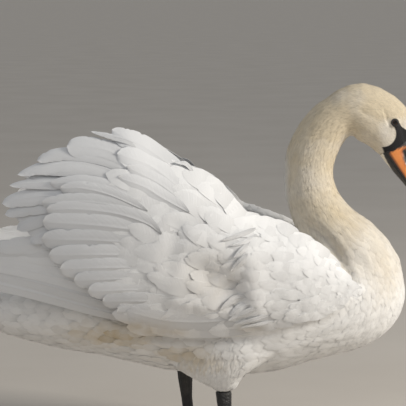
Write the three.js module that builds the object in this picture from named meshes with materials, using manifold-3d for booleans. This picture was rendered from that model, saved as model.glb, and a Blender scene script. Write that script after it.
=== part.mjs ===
// Mute swan (Cygnus olor), adult male, life size, standing still with its wings half raised.
// Millimetres, +Z up, bill towards +X, the bird's right side towards -Y, soles on z = 0.
import * as THREE from 'three';
import { mergeVertices } from 'three/addons/utils/BufferGeometryUtils.js';
import Module from 'manifold-3d';

const wasm = await Module();
wasm.setup();

// ---------------------------------------------------------------- driving dimensions
const GAP = 0.3;                    // clearance between pieces that touch

// Trunk: back line, belly line and half-breadth at distances along the body.
const BREAST_X = 291;               // foremost point of the breast
const BREAST_ROUNDING = 118;        // length over which the breast rounds off
const BREAST_LIFT = 8;              // how far the rounded front stands above the barrel's middle
const TRUNK_END_X = -365;           // where the tail coverts end
const BACK_LINE = [[-365, 221], [-290, 250], [-200, 287], [-100, 325], [0, 341],
  [80, 330], [150, 306], [220, 302], [291, 302]];
const BELLY_LINE = [[-365, 205], [-290, 173], [-200, 149], [-140, 140], [-50, 119],
  [50, 113], [110, 119], [170, 137], [220, 141], [291, 143]];
const TRUNK_HALF_BREADTH = [[-365, 28], [-290, 60], [-200, 90], [-100, 115], [0, 127],
  [80, 124], [160, 109], [220, 97], [291, 93]];

// Neck centreline (x, z), from the breast up to the nape, with its radius fore-and-aft and across.
const NECK_LINE = [[205, 205], [222, 235], [218, 258], [203, 290], [180, 322], [163, 350],
  [153, 377], [150, 400], [152, 421], [159, 441], [169, 459], [181, 474], [194, 484]];
const NECK_RADII = [62, 66, 68.5, 59.5, 46.5, 40, 38, 36.5, 36.5, 36, 35, 33.8, 32.5];
const NECK_HALF_BREADTHS = [70, 76, 74, 64, 52, 43, 38, 36, 35.5, 35, 34, 33.5, 33];
const NECK_JOINTS = [4, 6, 9, 12];  // places in the lists above where its lengths meet

// Head sections: centre x and z, heading in degrees, crown height, throat depth, half-breadth.
const HEAD_SECTIONS = [[194, 484, 37.6, 32.5, 32.5, 33], [207, 489.5, 9, 38, 33, 33.5],
  [222, 487, -16, 44.5, 31, 34], [240, 474, -40, 50, 33, 32], [256, 458, -48, 49, 26, 27],
  [267, 445, -52, 37, 24.5, 20.5], [274, 437, -54, 27, 22, 17.5]];

// Bill, measured along its cutting edge from the gape.
const BILL_ANGLE = -54.5;           // lie of the cutting edge, degrees from level
const BILL_LENGTH = 96;
const LOWER_BILL_LENGTH = 90;
const CULMEN_HEIGHT = [[0, 38], [20, 31], [40, 22], [60, 15.5], [80, 11], [96, 7]];
const BILL_HALF_BREADTH = [[0, 17], [25, 15.5], [50, 15], [75, 16.2], [96, 14]];
const LOWER_BILL_DEPTH = [[0, 8.5], [25, 7], [50, 5], [90, 4]];
const LOWER_BILL_INSET = 1.6;       // how far the lower bill lies inside the upper one
const BILL_NAIL_START = 0.72;       // fraction of the bill where its tip begins to round off
const KNOB_RADII = [15, 11, 14];    // along the head, across, and out from the forehead
const KNOB_CENTRE = [293, 468];
const KNOB_TILT = 48;               // degrees the knob leans down the forehead

const EYE_RADIUS = 8;
const EYE_PLACE = [270.2, 20.2, 475.4];

// Wing, seen from the side: the edges of the fleshy arm, then the tips of each rank of feathers.
const ARM_UPPER_EDGE = [[233, 246], [213, 257], [196, 277], [173, 305], [146, 325],
  [110, 343], [78, 353], [60, 359], [43, 379], [20, 401], [-10, 417], [-39, 428]];
const ARM_LOWER_EDGE = [[233, 236], [200, 222], [150, 206], [90, 195], [10, 187], [-62, 190]];
const ARM_REAR_EDGE = [[-62, 190], [-76, 222], [-88, 270], [-92, 330], [-82, 384], [-64, 413],
  [-39, 428]];
const SECONDARY_TIPS = [[-101, 477], [-126, 480], [-166, 473], [-214, 452], [-248, 428],
  [-266, 402], [-277, 376], [-270, 352], [-249, 330]];
const COVERT_TIPS = [[-82, 443], [-135, 426], [-184, 396], [-214, 362], [-217, 328],
  [-200, 290], [-158, 256], [-112, 222]];
const PRIMARY_TIPS = [[-285, 312], [-340, 305], [-385, 290], [-414, 266]];
const SECONDARY_COUNT = 11;
const COVERT_COUNT = 9;
const PRIMARY_COUNT = 6;

// Wing, seen from above and from the front: its outer surface as a domed shell.
const WING_HALF_SPAN = [[-420, 50], [-300, 106], [-180, 146], [-60, 164], [60, 156],
  [150, 133], [235, 82]];
const WING_MIDDLE = [[-420, 283], [-100, 290], [0, 290], [80, 279], [150, 262], [235, 242]];
const WING_RISE = [[-420, 200], [-115, 200], [-62, 175], [-17, 152], [22, 128], [50, 108],
  [80, 92], [150, 77], [200, 42], [235, 16]];
const LEFT_WING_LIFT = 0.91;        // the left wing is held a little lower than the right
const WING_DROP = [[-420, 153], [0, 153], [100, 130], [170, 95], [235, 34]];
const SHELL_POWER = 2.4;            // squareness of the shell's section
const ARM_THICKNESS = 44;           // flesh and scapulars at the middle of the arm
const ARM_EDGE_THICKNESS = 21;
const ARM_RIM_THICKNESS = 5;
const FEATHER_BASE_GAP = 1.2;       // from the arm's rear edge back to the feathers' roots
const VANE_LEAST_THICKNESS = 0.8;

// Depths below the shell's surface, at the base and the tip of each rank of feathers.
const COVERT_LAYER = { top: [0, 3.6], bottom: [6, 6] };
const SECONDARY_LAYER = { top: [7.4, 7.2], bottom: [12.6, 9.6] };
const PRIMARY_LAYER = { top: [13.6, 13.4], bottom: [20, 16] };
const SHINGLE_STEP = 1.6;           // each feather stands this far over the next

// Tail
const TAIL_BASE_X = -300;
const TAIL_TIP_X = -472;
const TAIL_HALF_BREADTH = 68;
const TAIL_HEIGHT = 213;
const TAIL_THICKNESS = [16, 3];     // at the base and at the tip
const TAIL_FEATHER_COUNT = 9;
const TAIL_ROUNDING = 0.42;         // how much shorter the outermost feather is
const TAIL_DROOP = 12;              // how far the outer feathers hang below the middle ones
const TAIL_RISE = 4;

// Legs. The right foot stands a little ahead of the left.
const ANKLE_X = { right: 29, left: -27 };
const LEG_Y = 74;
const THIGH_SECTIONS = [[24, 190, 62, 78, 46], [14, 158, 66, 84, 42], [6, 138, 47, 80, 36],
  [4, 126, 28, 61, 30], [2, 118, 23, 44, 24], [1, 111, 21.5, 29, 19], [1, 105, 17.5, 16.5, 14.5],
  [0, 101, 11, 11, 9.5]];
const TARSUS_SECTIONS = [[0, 112, 8, 8, 7], [0, 99, 11.5, 11.5, 9.5], [1, 86, 10.5, 11, 8.5],
  [3, 60, 8.2, 8.6, 6.2], [6, 34, 8, 8.4, 6.4], [8, 20, 9.5, 10.5, 8.8], [9, 12.6, 9.5, 10.5, 9]];
const FOOT_PAD = { height: 12.3, front: 10, back: 11, breadth: 10 };
const TOES = [
  { name: 'inner', length: 96, angle: 25 },
  { name: 'middle', length: 124, angle: 1 },
  { name: 'outer', length: 117, angle: -23 },
];
const TOE_RADIUS = [6.1, 4];        // at the root and at the claw
const TOE_SINK = 1.1;               // how far each toe is pressed flat on the ground
const WEB_THICKNESS = 2.4;
const WEB_BAY = 0.8;                // how deep the web's edge curves in between the toes
const FOOT_TURN = 4;                // toes turned in, degrees
const HALLUX = { length: 21, radius: 3.4, height: 7.6 };
const CLAW = { length: 15, radius: 3.4 };
const HIND_CLAW_SIZE = 0.7;         // against the front claws

// ---------------------------------------------------------------- colours
const WHITE = { color: 0xf1efe8, roughness: 0.85, metalness: 0 };
const BUFF = { color: 0xe6dcc3, roughness: 0.85, metalness: 0 };
const ORANGE = { color: 0xd9772e, roughness: 0.45, metalness: 0 };
const BLACK = { color: 0x17161a, roughness: 0.5, metalness: 0 };
const EYE_BROWN = { color: 0x120c08, roughness: 0.05, metalness: 0 };
const LEG_GREY = { color: 0x2b2c2e, roughness: 0.7, metalness: 0 };

// ---------------------------------------------------------------- curves and solids
const radians = THREE.MathUtils.degToRad;
const lerp = THREE.MathUtils.lerp;

/** A smooth function through [place, value] pairs in rising order of place. */
function profile(pairs) {
  const last = pairs.length - 1;
  const slope = (i) => {
    const [x0, v0] = pairs[Math.max(i - 1, 0)];
    const [x1, v1] = pairs[Math.min(i + 1, last)];
    return (v1 - v0) / (x1 - x0);
  };
  return (x) => {
    let i = pairs.findIndex(([place]) => place > x) - 1;
    if (i < 0) i = x < pairs[0][0] ? 0 : last - 1;
    const [x0, v0] = pairs[i];
    const [x1, v1] = pairs[i + 1];
    const span = x1 - x0;
    const t = THREE.MathUtils.clamp((x - x0) / span, 0, 1);
    const t2 = t * t;
    const t3 = t2 * t;
    return v0 * (2 * t3 - 3 * t2 + 1) + slope(i) * span * (t3 - 2 * t2 + t)
      + v1 * (3 * t2 - 2 * t3) + slope(i + 1) * span * (t3 - t2);
  };
}

/** A smooth curve in the side view through [x, z] points, as t in 0..1 to {x, z}. */
function sideCurve(points) {
  const curve = new THREE.CatmullRomCurve3(
    points.map(([x, z]) => new THREE.Vector3(x, 0, z)), false, 'centripetal');
  return (t) => curve.getPointAt(THREE.MathUtils.clamp(t, 0, 1));
}

/** A closed body from vertices and triangles, its faces turned outwards. */
function body(points, triangles) {
  let volume = 0;
  for (const [a, b, c] of triangles) {
    volume += points[a].dot(new THREE.Vector3().crossVectors(points[b], points[c]));
  }
  const index = triangles.flatMap(([a, b, c]) => (volume > 0 ? [a, b, c] : [a, c, b]));
  const geometry = new THREE.BufferGeometry().setFromPoints(points);
  geometry.setIndex(index);
  return geometry;
}

/** One ring of a limb: a rounded section across the heading, centred on (x, y, z). */
function section({ x, y = 0, z, heading, up, down, breadth, count, power = 2 }) {
  const h = radians(heading);
  const ring = [];
  for (let k = 0; k < count; k += 1) {
    const angle = (2 * Math.PI * k) / count;
    const across = breadth * Math.sign(Math.cos(angle)) * Math.abs(Math.cos(angle)) ** (2 / power);
    const rise = Math.sign(Math.sin(angle)) * Math.abs(Math.sin(angle)) ** (2 / power)
      * (Math.sin(angle) > 0 ? up : down);
    ring.push(new THREE.Vector3(x - Math.sin(h) * rise, y + across, z + Math.cos(h) * rise));
  }
  return ring;
}

/** A body through rings of equal counts, closed by a fan of faces at each end. */
function loft(rings) {
  const count = rings[0].length;
  const points = rings.flat();
  const triangles = [];
  for (let i = 0; i < rings.length - 1; i += 1) {
    for (let k = 0; k < count; k += 1) {
      const a = i * count + k;
      const b = i * count + ((k + 1) % count);
      triangles.push([a, b, b + count], [a, b + count, a + count]);
    }
  }
  for (const [start, forward] of [[0, false], [(rings.length - 1) * count, true]]) {
    const middle = new THREE.Vector3();
    for (let k = 0; k < count; k += 1) middle.addScaledVector(points[start + k], 1 / count);
    points.push(middle);
    const centre = points.length - 1;
    for (let k = 0; k < count; k += 1) {
      const a = start + k;
      const b = start + ((k + 1) % count);
      triangles.push(forward ? [centre, a, b] : [centre, b, a]);
    }
  }
  return body(points, triangles);
}

/** A thin body between two like grids of points, walled round its four edges. */
function plate(top, bottom) {
  const rows = top.length;
  const columns = top[0].length;
  const points = [...top.flat(), ...bottom.flat()];
  const under = rows * columns;
  const triangles = [];
  for (let i = 0; i < rows - 1; i += 1) {
    for (let j = 0; j < columns - 1; j += 1) {
      const a = i * columns + j;
      const b = a + columns;
      triangles.push([a, b, b + 1], [a, b + 1, a + 1]);
      triangles.push([under + a, under + b + 1, under + b], [under + a, under + a + 1, under + b + 1]);
    }
  }
  const rim = [];
  for (let i = 0; i < rows - 1; i += 1) rim.push(i * columns);
  for (let j = 0; j < columns - 1; j += 1) rim.push((rows - 1) * columns + j);
  for (let i = rows - 1; i > 0; i -= 1) rim.push(i * columns + columns - 1);
  for (let j = columns - 1; j > 0; j -= 1) rim.push(j);
  rim.forEach((a, k) => {
    const b = rim[(k + 1) % rim.length];
    triangles.push([a, under + a, under + b], [a, under + b, b]);
  });
  return body(points, triangles);
}

/** The same body on the other side of the bird. */
function mirrored(geometry) {
  const copy = geometry.clone();
  copy.scale(1, -1, 1);
  const index = copy.getIndex().array;
  for (let i = 0; i < index.length; i += 3) [index[i + 1], index[i + 2]] = [index[i + 2], index[i + 1]];
  return copy;
}

function toSolid(geometry) {
  const bare = geometry.clone();
  bare.deleteAttribute('normal');
  bare.deleteAttribute('uv');
  const merged = mergeVertices(bare, 1e-4);
  return new wasm.Manifold(new wasm.Mesh({
    numProp: 3,
    vertProperties: new Float32Array(merged.getAttribute('position').array),
    triVerts: new Uint32Array(merged.getIndex().array),
  }));
}

function toGeometry(solid) {
  const { vertProperties, triVerts } = solid.getMesh();
  const geometry = new THREE.BufferGeometry();
  geometry.setAttribute('position', new THREE.BufferAttribute(vertProperties, 3));
  geometry.setIndex(new THREE.BufferAttribute(triVerts, 1));
  return geometry;
}

/** The first body with the others joined on. */
const joined = (first, ...others) => toGeometry(
  others.reduce((solid, other) => solid.add(toSolid(other)), toSolid(first)));

/** The first body with the others cut away. */
const cut = (first, ...others) => toGeometry(
  others.reduce((solid, other) => solid.subtract(toSolid(other)), toSolid(first)));

// ---------------------------------------------------------------- trunk and neck
const backLine = profile(BACK_LINE);
const bellyLine = profile(BELLY_LINE);
const trunkHalfBreadth = profile(TRUNK_HALF_BREADTH);

/** The barrel of the body from the tail coverts to the breast, grown all round by a clearance. */
function barrel(grow = 0) {
  const ringCount = 20;
  const rings = [];
  for (let i = 0; i <= ringCount; i += 1) {
    const x = lerp(TRUNK_END_X, BREAST_X, Math.sin((i / ringCount) * Math.PI / 2) ** 1.15);
    const t = Math.max((x - (BREAST_X - BREAST_ROUNDING)) / BREAST_ROUNDING, 0);
    const rounding = Math.max(1 - t ** 2.5, 0.002) ** 0.5;
    const top = backLine(x);
    const bottom = bellyLine(x);
    const half = ((top - bottom) / 2) * rounding + grow;
    rings.push(section({
      x: i === 0 ? x - grow : x + (i === ringCount ? grow : 0),
      z: (top + bottom) / 2 + BREAST_LIFT * t,
      heading: 0,
      up: half,
      down: half,
      breadth: trunkHalfBreadth(x) * rounding + grow,
      count: 24,
      power: 2.15,
    }));
  }
  return loft(rings);
}

/** A length of the neck between two places in its list, with so many rings. */
function neckLength(from, to, ringCount, grow = 0) {
  const last = NECK_LINE.length - 1;
  const line = new THREE.CatmullRomCurve3(
    NECK_LINE.map(([x, z]) => new THREE.Vector3(x, 0, z)), false, 'centripetal');
  const radius = profile(NECK_RADII.map((value, i) => [i, value]));
  const breadth = profile(NECK_HALF_BREADTHS.map((value, i) => [i, value]));
  const rings = [];
  for (let i = 0; i <= ringCount; i += 1) {
    const place = lerp(from, to, i / ringCount);
    const centre = line.getPoint(place / last);
    const along = line.getTangent(place / last);
    const inset = i === 0 ? GAP / 2 : (i === ringCount ? -GAP / 2 : 0);
    rings.push(section({
      x: centre.x + along.x * inset,
      z: centre.z + along.z * inset,
      heading: THREE.MathUtils.radToDeg(Math.atan2(along.z, along.x)),
      up: radius(place) + grow,
      down: radius(place) + grow,
      breadth: breadth(place) + grow,
      count: 16,
    }));
  }
  return loft(rings);
}

function trunk() {
  return joined(barrel(), neckLength(0, NECK_JOINTS[0], 6));
}

// ---------------------------------------------------------------- head
/** The head from the nape to the root of the bill. */
function headShape(grow = 0) {
  const places = HEAD_SECTIONS.map((_, i) => i);
  const value = (column) => profile(places.map((i) => [i, HEAD_SECTIONS[i][column]]));
  const [x, z, heading, up, down, breadth] = [0, 1, 2, 3, 4, 5].map(value);
  const ringCount = 10;
  const last = HEAD_SECTIONS.length - 1;
  const rings = [];
  for (let i = 0; i <= ringCount; i += 1) {
    const place = (i / ringCount) * last;
    const h = radians(heading(place));
    const inset = i === 0 ? GAP / 2 - grow : (i === ringCount ? grow : 0);
    rings.push(section({
      x: x(place) + Math.cos(h) * inset,
      z: z(place) + Math.sin(h) * inset,
      heading: heading(place),
      up: up(place) + grow,
      down: down(place) + grow,
      breadth: breadth(place) + grow,
      count: 18,
    }));
  }
  return loft(rings);
}

function eyeball(side, grow = 0) {
  const [x, y, z] = EYE_PLACE;
  const geometry = new THREE.SphereGeometry(EYE_RADIUS + grow, 10, 6);
  geometry.translate(x, side * y, z);
  return geometry;
}

function head() {
  return cut(headShape(), eyeball(1, GAP), eyeball(-1, GAP));
}

/** Rings along the bill: from start to end, each with its height above and below the cutting edge. */
function billRings({ length, ringCount, count, up, down, breadth }) {
  const h = radians(BILL_ANGLE);
  const [rootX, rootZ, , , rootDepth] = HEAD_SECTIONS[HEAD_SECTIONS.length - 1];
  const sunk = rootDepth - LOWER_BILL_DEPTH[0][1];
  const rings = [];
  for (let i = 0; i <= ringCount; i += 1) {
    const along = length * Math.sin((i / ringCount) * Math.PI / 2);
    const nail = Math.max((along / length - BILL_NAIL_START) / (1 - BILL_NAIL_START), 0);
    const rounding = Math.max(1 - nail ** 2.4, 0.01) ** 0.5;
    const height = lerp(0.35, 1, rounding);
    rings.push(section({
      x: rootX + Math.sin(h) * sunk + Math.cos(h) * (along + GAP),
      z: rootZ - Math.cos(h) * sunk + Math.sin(h) * (along + GAP),
      heading: BILL_ANGLE,
      up: up(along) * height,
      down: down(along) * height,
      breadth: breadth(along) * rounding,
      count,
    }));
  }
  return rings;
}

function upperBill() {
  const height = profile(CULMEN_HEIGHT);
  const breadth = profile(BILL_HALF_BREADTH);
  const seam = LOWER_BILL_DEPTH[LOWER_BILL_DEPTH.length - 1][1];
  const whole = loft(billRings({
    length: BILL_LENGTH, ringCount: 8, count: 14, up: height, down: () => seam, breadth,
  }));
  return cut(whole, headShape(GAP), lowerBill(GAP), knobShape(GAP));
}

function lowerBill(grow = 0) {
  const depth = profile(LOWER_BILL_DEPTH);
  const breadth = profile(BILL_HALF_BREADTH);
  const whole = loft(billRings({
    length: LOWER_BILL_LENGTH + grow,
    ringCount: 7,
    count: 12,
    up: () => 1.2 + grow,
    down: (along) => depth(along) + grow,
    breadth: (along) => breadth(along) - LOWER_BILL_INSET + grow,
  }));
  return grow ? whole : cut(whole, headShape(GAP));
}

function knobShape(grow = 0) {
  const geometry = new THREE.SphereGeometry(1, 12, 8);
  geometry.scale(...KNOB_RADII.map((radius) => radius + grow));
  geometry.rotateY(radians(KNOB_TILT));
  geometry.translate(KNOB_CENTRE[0], 0, KNOB_CENTRE[1]);
  return geometry;
}

function knob() {
  return cut(knobShape(), headShape(GAP));
}

// ---------------------------------------------------------------- wings
const wingHalfSpan = profile(WING_HALF_SPAN);
const wingMiddle = profile(WING_MIDDLE);
const wingRise = profile(WING_RISE);
const wingDrop = profile(WING_DROP);

/** How far the wing in hand is raised, against the right wing. */
let wingLift = 1;

/** A point of the wing's shell from its place in the side view, so deep below the surface. */
function onShell({ x, z }, depth) {
  const middle = wingMiddle(x);
  const reach = z > middle ? wingRise(x) : wingDrop(x);
  const t = THREE.MathUtils.clamp((z - middle) / reach, -0.97, 0.97);
  const out = (1 - Math.abs(t) ** SHELL_POWER) ** 0.5;
  const lift = z > middle ? wingLift : 1;
  return new THREE.Vector3(x, -(wingHalfSpan(x) - depth) * out, middle + t * (reach - depth) * lift);
}

const armUpper = sideCurve(ARM_UPPER_EDGE);
const armLower = sideCurve(ARM_LOWER_EDGE);
const armRear = sideCurve(ARM_REAR_EDGE);

/** A place in the arm's outline: u from the wrist to the elbow, v from the lower to the upper edge. */
function armPlace(u, v) {
  const straightRear = armLower(1).lerp(armUpper(1), v);
  return armLower(u).lerp(armUpper(u), v).addScaledVector(armRear(v).sub(straightRear), u);
}

/** Wrist, forearm, upper arm and scapulars of the right wing, laid against the body. */
function wingArm() {
  const columns = 11;
  const rows = 8;
  const grid = (depthAt) => Array.from({ length: columns + 1 }, (_, i) => (
    Array.from({ length: rows + 1 }, (__, j) => {
      const u = i / columns;
      const v = j / rows;
      return onShell(armPlace(u, v), depthAt(u, v));
    })));
  const thickness = (u, v) => {
    const acrossArm = Math.sin(Math.PI * v) ** 0.6;
    const alongArm = Math.sin(Math.PI * lerp(0.172, 0.86, u));
    const edge = lerp(ARM_RIM_THICKNESS, ARM_EDGE_THICKNESS, u);
    return lerp(edge, ARM_THICKNESS, acrossArm * alongArm);
  };
  return cut(plate(grid(() => 0), grid(thickness)), barrel(GAP), neckLength(0, NECK_JOINTS[0], 6, GAP));
}

/** Fractions across one feather where the plate has a line of points. */
const VANE_LINES = [0.04, 0.5, 0.96];

/**
 * A rank of overlapping feathers: base and tip curves, how far the shafts bow, the depth of the
 * notches between tips, and the layer's depths below the shell.
 */
function featherRank({ base, tip, bow, count, notch, layer, rows }) {
  const top = [];
  const bottom = [];
  for (let k = 0; k < count; k += 1) {
    for (const across of VANE_LINES) {
      const s = (k + across) / count;
      const from = base(s);
      const to = tip(s);
      const shaft = to.clone().sub(from);
      const control = from.clone().lerp(to, 0.5).add(new THREE.Vector3(shaft.z, 0, -shaft.x)
        .multiplyScalar(bow(s)));
      const curve = new THREE.QuadraticBezierCurve3(from, control, to);
      const reach = 1 - notch * Math.abs(2 * across - 1) ** 3;
      const upper = [];
      const lower = [];
      for (let j = 0; j <= rows; j += 1) {
        const r = j / rows;
        const place = curve.getPoint(r * reach);
        const shingle = SHINGLE_STEP * across * Math.min(3 * r, 1);
        const topDepth = lerp(...layer.top, r) + shingle;
        const bottomDepth = Math.max(lerp(...layer.bottom, r), topDepth + VANE_LEAST_THICKNESS);
        upper.push(onShell(place, topDepth));
        lower.push(onShell(place, bottomDepth));
      }
      top.push(upper);
      bottom.push(lower);
    }
  }
  return plate(top, bottom);
}

/** A base curve just behind the arm's rear edge, from one fraction of it to another. */
const behindArm = (from, to) => (s) => (
  armRear(lerp(from, to, s)).add(new THREE.Vector3(-FEATHER_BASE_GAP, 0, 0)));

function secondaries() {
  return featherRank({
    base: behindArm(1, 0.3),
    tip: sideCurve(SECONDARY_TIPS),
    bow: (s) => lerp(0.2, 0.04, s ** 0.7) - 0.07 * (1 - s) ** 6,
    count: SECONDARY_COUNT,
    notch: 0.09,
    layer: SECONDARY_LAYER,
    rows: 5,
  });
}

function coverts() {
  return featherRank({
    base: behindArm(1, 0.04),
    tip: sideCurve(COVERT_TIPS),
    bow: (s) => lerp(0.12, 0.03, s),
    count: COVERT_COUNT,
    notch: 0.1,
    layer: COVERT_LAYER,
    rows: 3,
  });
}

function primaries() {
  return cut(featherRank({
    base: behindArm(0.55, 0),
    tip: sideCurve(PRIMARY_TIPS),
    bow: (s) => lerp(0.03, -0.02, s),
    count: PRIMARY_COUNT,
    notch: 0.05,
    layer: PRIMARY_LAYER,
    rows: 6,
  }), barrel(GAP));
}

// ---------------------------------------------------------------- tail
function tail() {
  const top = [];
  const bottom = [];
  const rows = 4;
  for (let k = 0; k < TAIL_FEATHER_COUNT; k += 1) {
    for (const across of VANE_LINES) {
      const s = 2 * ((k + across) / TAIL_FEATHER_COUNT) - 1;
      const reach = 1 - TAIL_ROUNDING * s ** 2 - 0.05 * Math.abs(2 * across - 1) ** 3;
      const upper = [];
      const lower = [];
      for (let j = 0; j <= rows; j += 1) {
        const r = j / rows;
        const x = lerp(TAIL_BASE_X, TAIL_TIP_X, r * reach);
        const y = s * lerp(0.52, 1, r ** 0.7) * TAIL_HALF_BREADTH;
        const z = TAIL_HEIGHT - TAIL_DROOP * s ** 2 + TAIL_RISE * r;
        const half = lerp(...TAIL_THICKNESS, r ** 0.6) / 2;
        const shingle = 1.2 * Math.abs(s) * across;
        upper.push(new THREE.Vector3(x, y, z + half - shingle));
        lower.push(new THREE.Vector3(x, y, z - half - shingle));
      }
      top.push(upper);
      bottom.push(lower);
    }
  }
  return cut(plate(top, bottom), barrel(GAP));
}

// ---------------------------------------------------------------- legs
/** Rings down the right leg, each [forward of the ankle, height, front, back, half-breadth]. */
function legRings(sections, ankleX, count, grow = 0) {
  return sections.map(([dx, z, front, back, breadth], i) => section({
    x: ankleX + dx,
    y: -LEG_Y,
    z: i === sections.length - 1 ? z - grow : z,
    heading: -90,
    up: front + grow,
    down: back + grow,
    breadth: breadth + grow,
    count,
  }));
}

function thigh(ankleX) {
  return cut(loft(legRings(THIGH_SECTIONS, ankleX, 14)), barrel(GAP));
}

function tarsus(ankleX) {
  return cut(loft(legRings(TARSUS_SECTIONS, ankleX, 9)), loft(legRings(THIGH_SECTIONS, ankleX, 14, GAP)));
}

/** One toe or claw: rings along a line on the ground, from one distance to another. */
function toeShape({ start, end, angle, radiusAt, heightAt, rings, count }) {
  const list = [];
  for (let i = 0; i <= rings; i += 1) {
    const t = i / rings;
    const along = lerp(start, end, t);
    const radius = radiusAt(t);
    list.push(section({
      x: along, z: heightAt(t), heading: 0, up: radius, down: radius, breadth: radius, count,
    }));
  }
  const geometry = loft(list);
  geometry.rotateZ(radians(angle));
  return geometry;
}

const toeRadius = (t) => lerp(...TOE_RADIUS, t) * (1 + 0.1 * Math.cos(6 * Math.PI * t));

/** Toes, web and hallux before the ground levels them; the heel is at the origin. */
function footBlank() {
  const toes = TOES.map(({ length, angle }) => toeShape({
    start: -6, end: length, angle, rings: 5, count: 7,
    radiusAt: toeRadius,
    heightAt: (t) => toeRadius(t) - TOE_SINK,
  }));
  const outline = new THREE.Shape();
  const tips = TOES.map(({ length, angle }) => new THREE.Vector2(length - 3, 0)
    .rotateAround(new THREE.Vector2(), radians(angle)));
  outline.moveTo(0, 0);
  outline.lineTo(tips[2].x, tips[2].y);
  for (const [from, to] of [[2, 1], [1, 0]]) {
    const bay = tips[from].clone().add(tips[to]).multiplyScalar(WEB_BAY / 2);
    outline.quadraticCurveTo(bay.x, bay.y, tips[to].x, tips[to].y);
  }
  const web = new THREE.ExtrudeGeometry(outline, {
    depth: WEB_THICKNESS, bevelEnabled: false, curveSegments: 3,
  });
  const hallux = toeShape({
    start: 0, end: HALLUX.length, angle: 180, rings: 2, count: 8,
    radiusAt: (t) => HALLUX.radius * (1.25 - 0.35 * t),
    heightAt: () => HALLUX.height,
  });
  const { height, front, back, breadth } = FOOT_PAD;
  const pad = loft([height, -2].map((z) => section({
    x: 0, z, heading: -90, up: front, down: back, breadth, count: 10,
  })));
  return joined(toes[0], toes[1], toes[2], web, hallux, pad);
}

/** A shape made about the heel, turned with the foot and set down under the tarsus. */
function underTarsus(geometry, ankleX) {
  const [heelX] = TARSUS_SECTIONS[TARSUS_SECTIONS.length - 1];
  geometry.rotateZ(radians(FOOT_TURN));
  geometry.translate(ankleX + heelX, -LEG_Y, 0);
  return geometry;
}

function footShape(ankleX) {
  const groundSize = 400;
  const groundDepth = 40;
  const ground = new THREE.BoxGeometry(groundSize, groundSize, groundDepth);
  ground.translate(0, 0, -groundDepth / 2);
  return underTarsus(cut(footBlank(), ground), ankleX);
}

/** The claws of the right foot, by the name of their toe. */
function clawShape(ankleX, { name, length, angle }) {
  const hind = name === 'hind';
  const height = hind ? HALLUX.height : TOE_RADIUS[1] - 0.4;
  const size = hind ? HIND_CLAW_SIZE : 1;
  const droop = 0.9 * (height - 0.8 * size) * (hind ? 0.5 : 1);
  return underTarsus(toeShape({
    start: length + GAP, end: length + CLAW.length * size, angle, rings: 3, count: 6,
    radiusAt: (t) => CLAW.radius * size * Math.max(1 - t ** 1.6, 0.12),
    heightAt: (t) => height - droop * t ** 2,
  }), ankleX);
}

// ---------------------------------------------------------------- the whole bird
const bird = new THREE.Group();

function add(name, geometry, look, mirror = false) {
  const mesh = new THREE.Mesh(mirror ? mirrored(geometry) : geometry, new THREE.MeshStandardMaterial(look));
  mesh.name = name;
  mesh.geometry.computeVertexNormals();
  bird.add(mesh);
}

add('trunk', trunk(), WHITE);
add('neck_lower', cut(neckLength(NECK_JOINTS[0], NECK_JOINTS[1], 3), barrel(GAP)), BUFF);
add('neck_middle', neckLength(NECK_JOINTS[1], NECK_JOINTS[2], 4), BUFF);
add('neck_upper', neckLength(NECK_JOINTS[2], NECK_JOINTS[3], 4), BUFF);
add('head', head(), BUFF);
add('bill_upper', upperBill(), ORANGE);
add('bill_lower', lowerBill(), BLACK);
add('bill_knob', knob(), BLACK);
add('tail', tail(), WHITE);

for (const [side, mirror] of [['right', false], ['left', true]]) {
  wingLift = mirror ? LEFT_WING_LIFT : 1;
  const wing = { arm: wingArm(), coverts: coverts(), secondaries: secondaries(), primaries: primaries() };
  add(`eye_${side}`, eyeball(mirror ? 1 : -1), EYE_BROWN);
  for (const [name, geometry] of Object.entries(wing)) add(`wing_${name}_${side}`, geometry, WHITE, mirror);
  const ankleX = ANKLE_X[side];
  add(`thigh_${side}`, thigh(ankleX), WHITE, mirror);
  add(`tarsus_${side}`, tarsus(ankleX), LEG_GREY, mirror);
  add(`foot_${side}`, footShape(ankleX), LEG_GREY, mirror);
  for (const toe of [...TOES, { name: 'hind', length: HALLUX.length, angle: 180 }]) {
    add(`claw_${toe.name}_${side}`, clawShape(ankleX, toe), BLACK, mirror);
  }
}

// The origin is under the middle of the bird's box, on the ground.
const box = new THREE.Box3().setFromObject(bird);
bird.position.set(-(box.min.x + box.max.x) / 2, -(box.min.y + box.max.y) / 2, -box.min.z);

export default bird;
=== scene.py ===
"""Dress a life-size mute swan: skin, feather coat, wing and tail vanes, bill, eyes and legs."""

import logging
import math
from dataclasses import dataclass
from enum import Enum
from functools import cache
from itertools import product
from typing import Callable, Sequence

import bmesh
import bpy
import numpy as np
from bpy.types import ID, Material, Mesh, Node, NodeSocket, NodeTree, Object
from mathutils import Euler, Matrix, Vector
from mathutils.bvhtree import BVHTree


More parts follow.
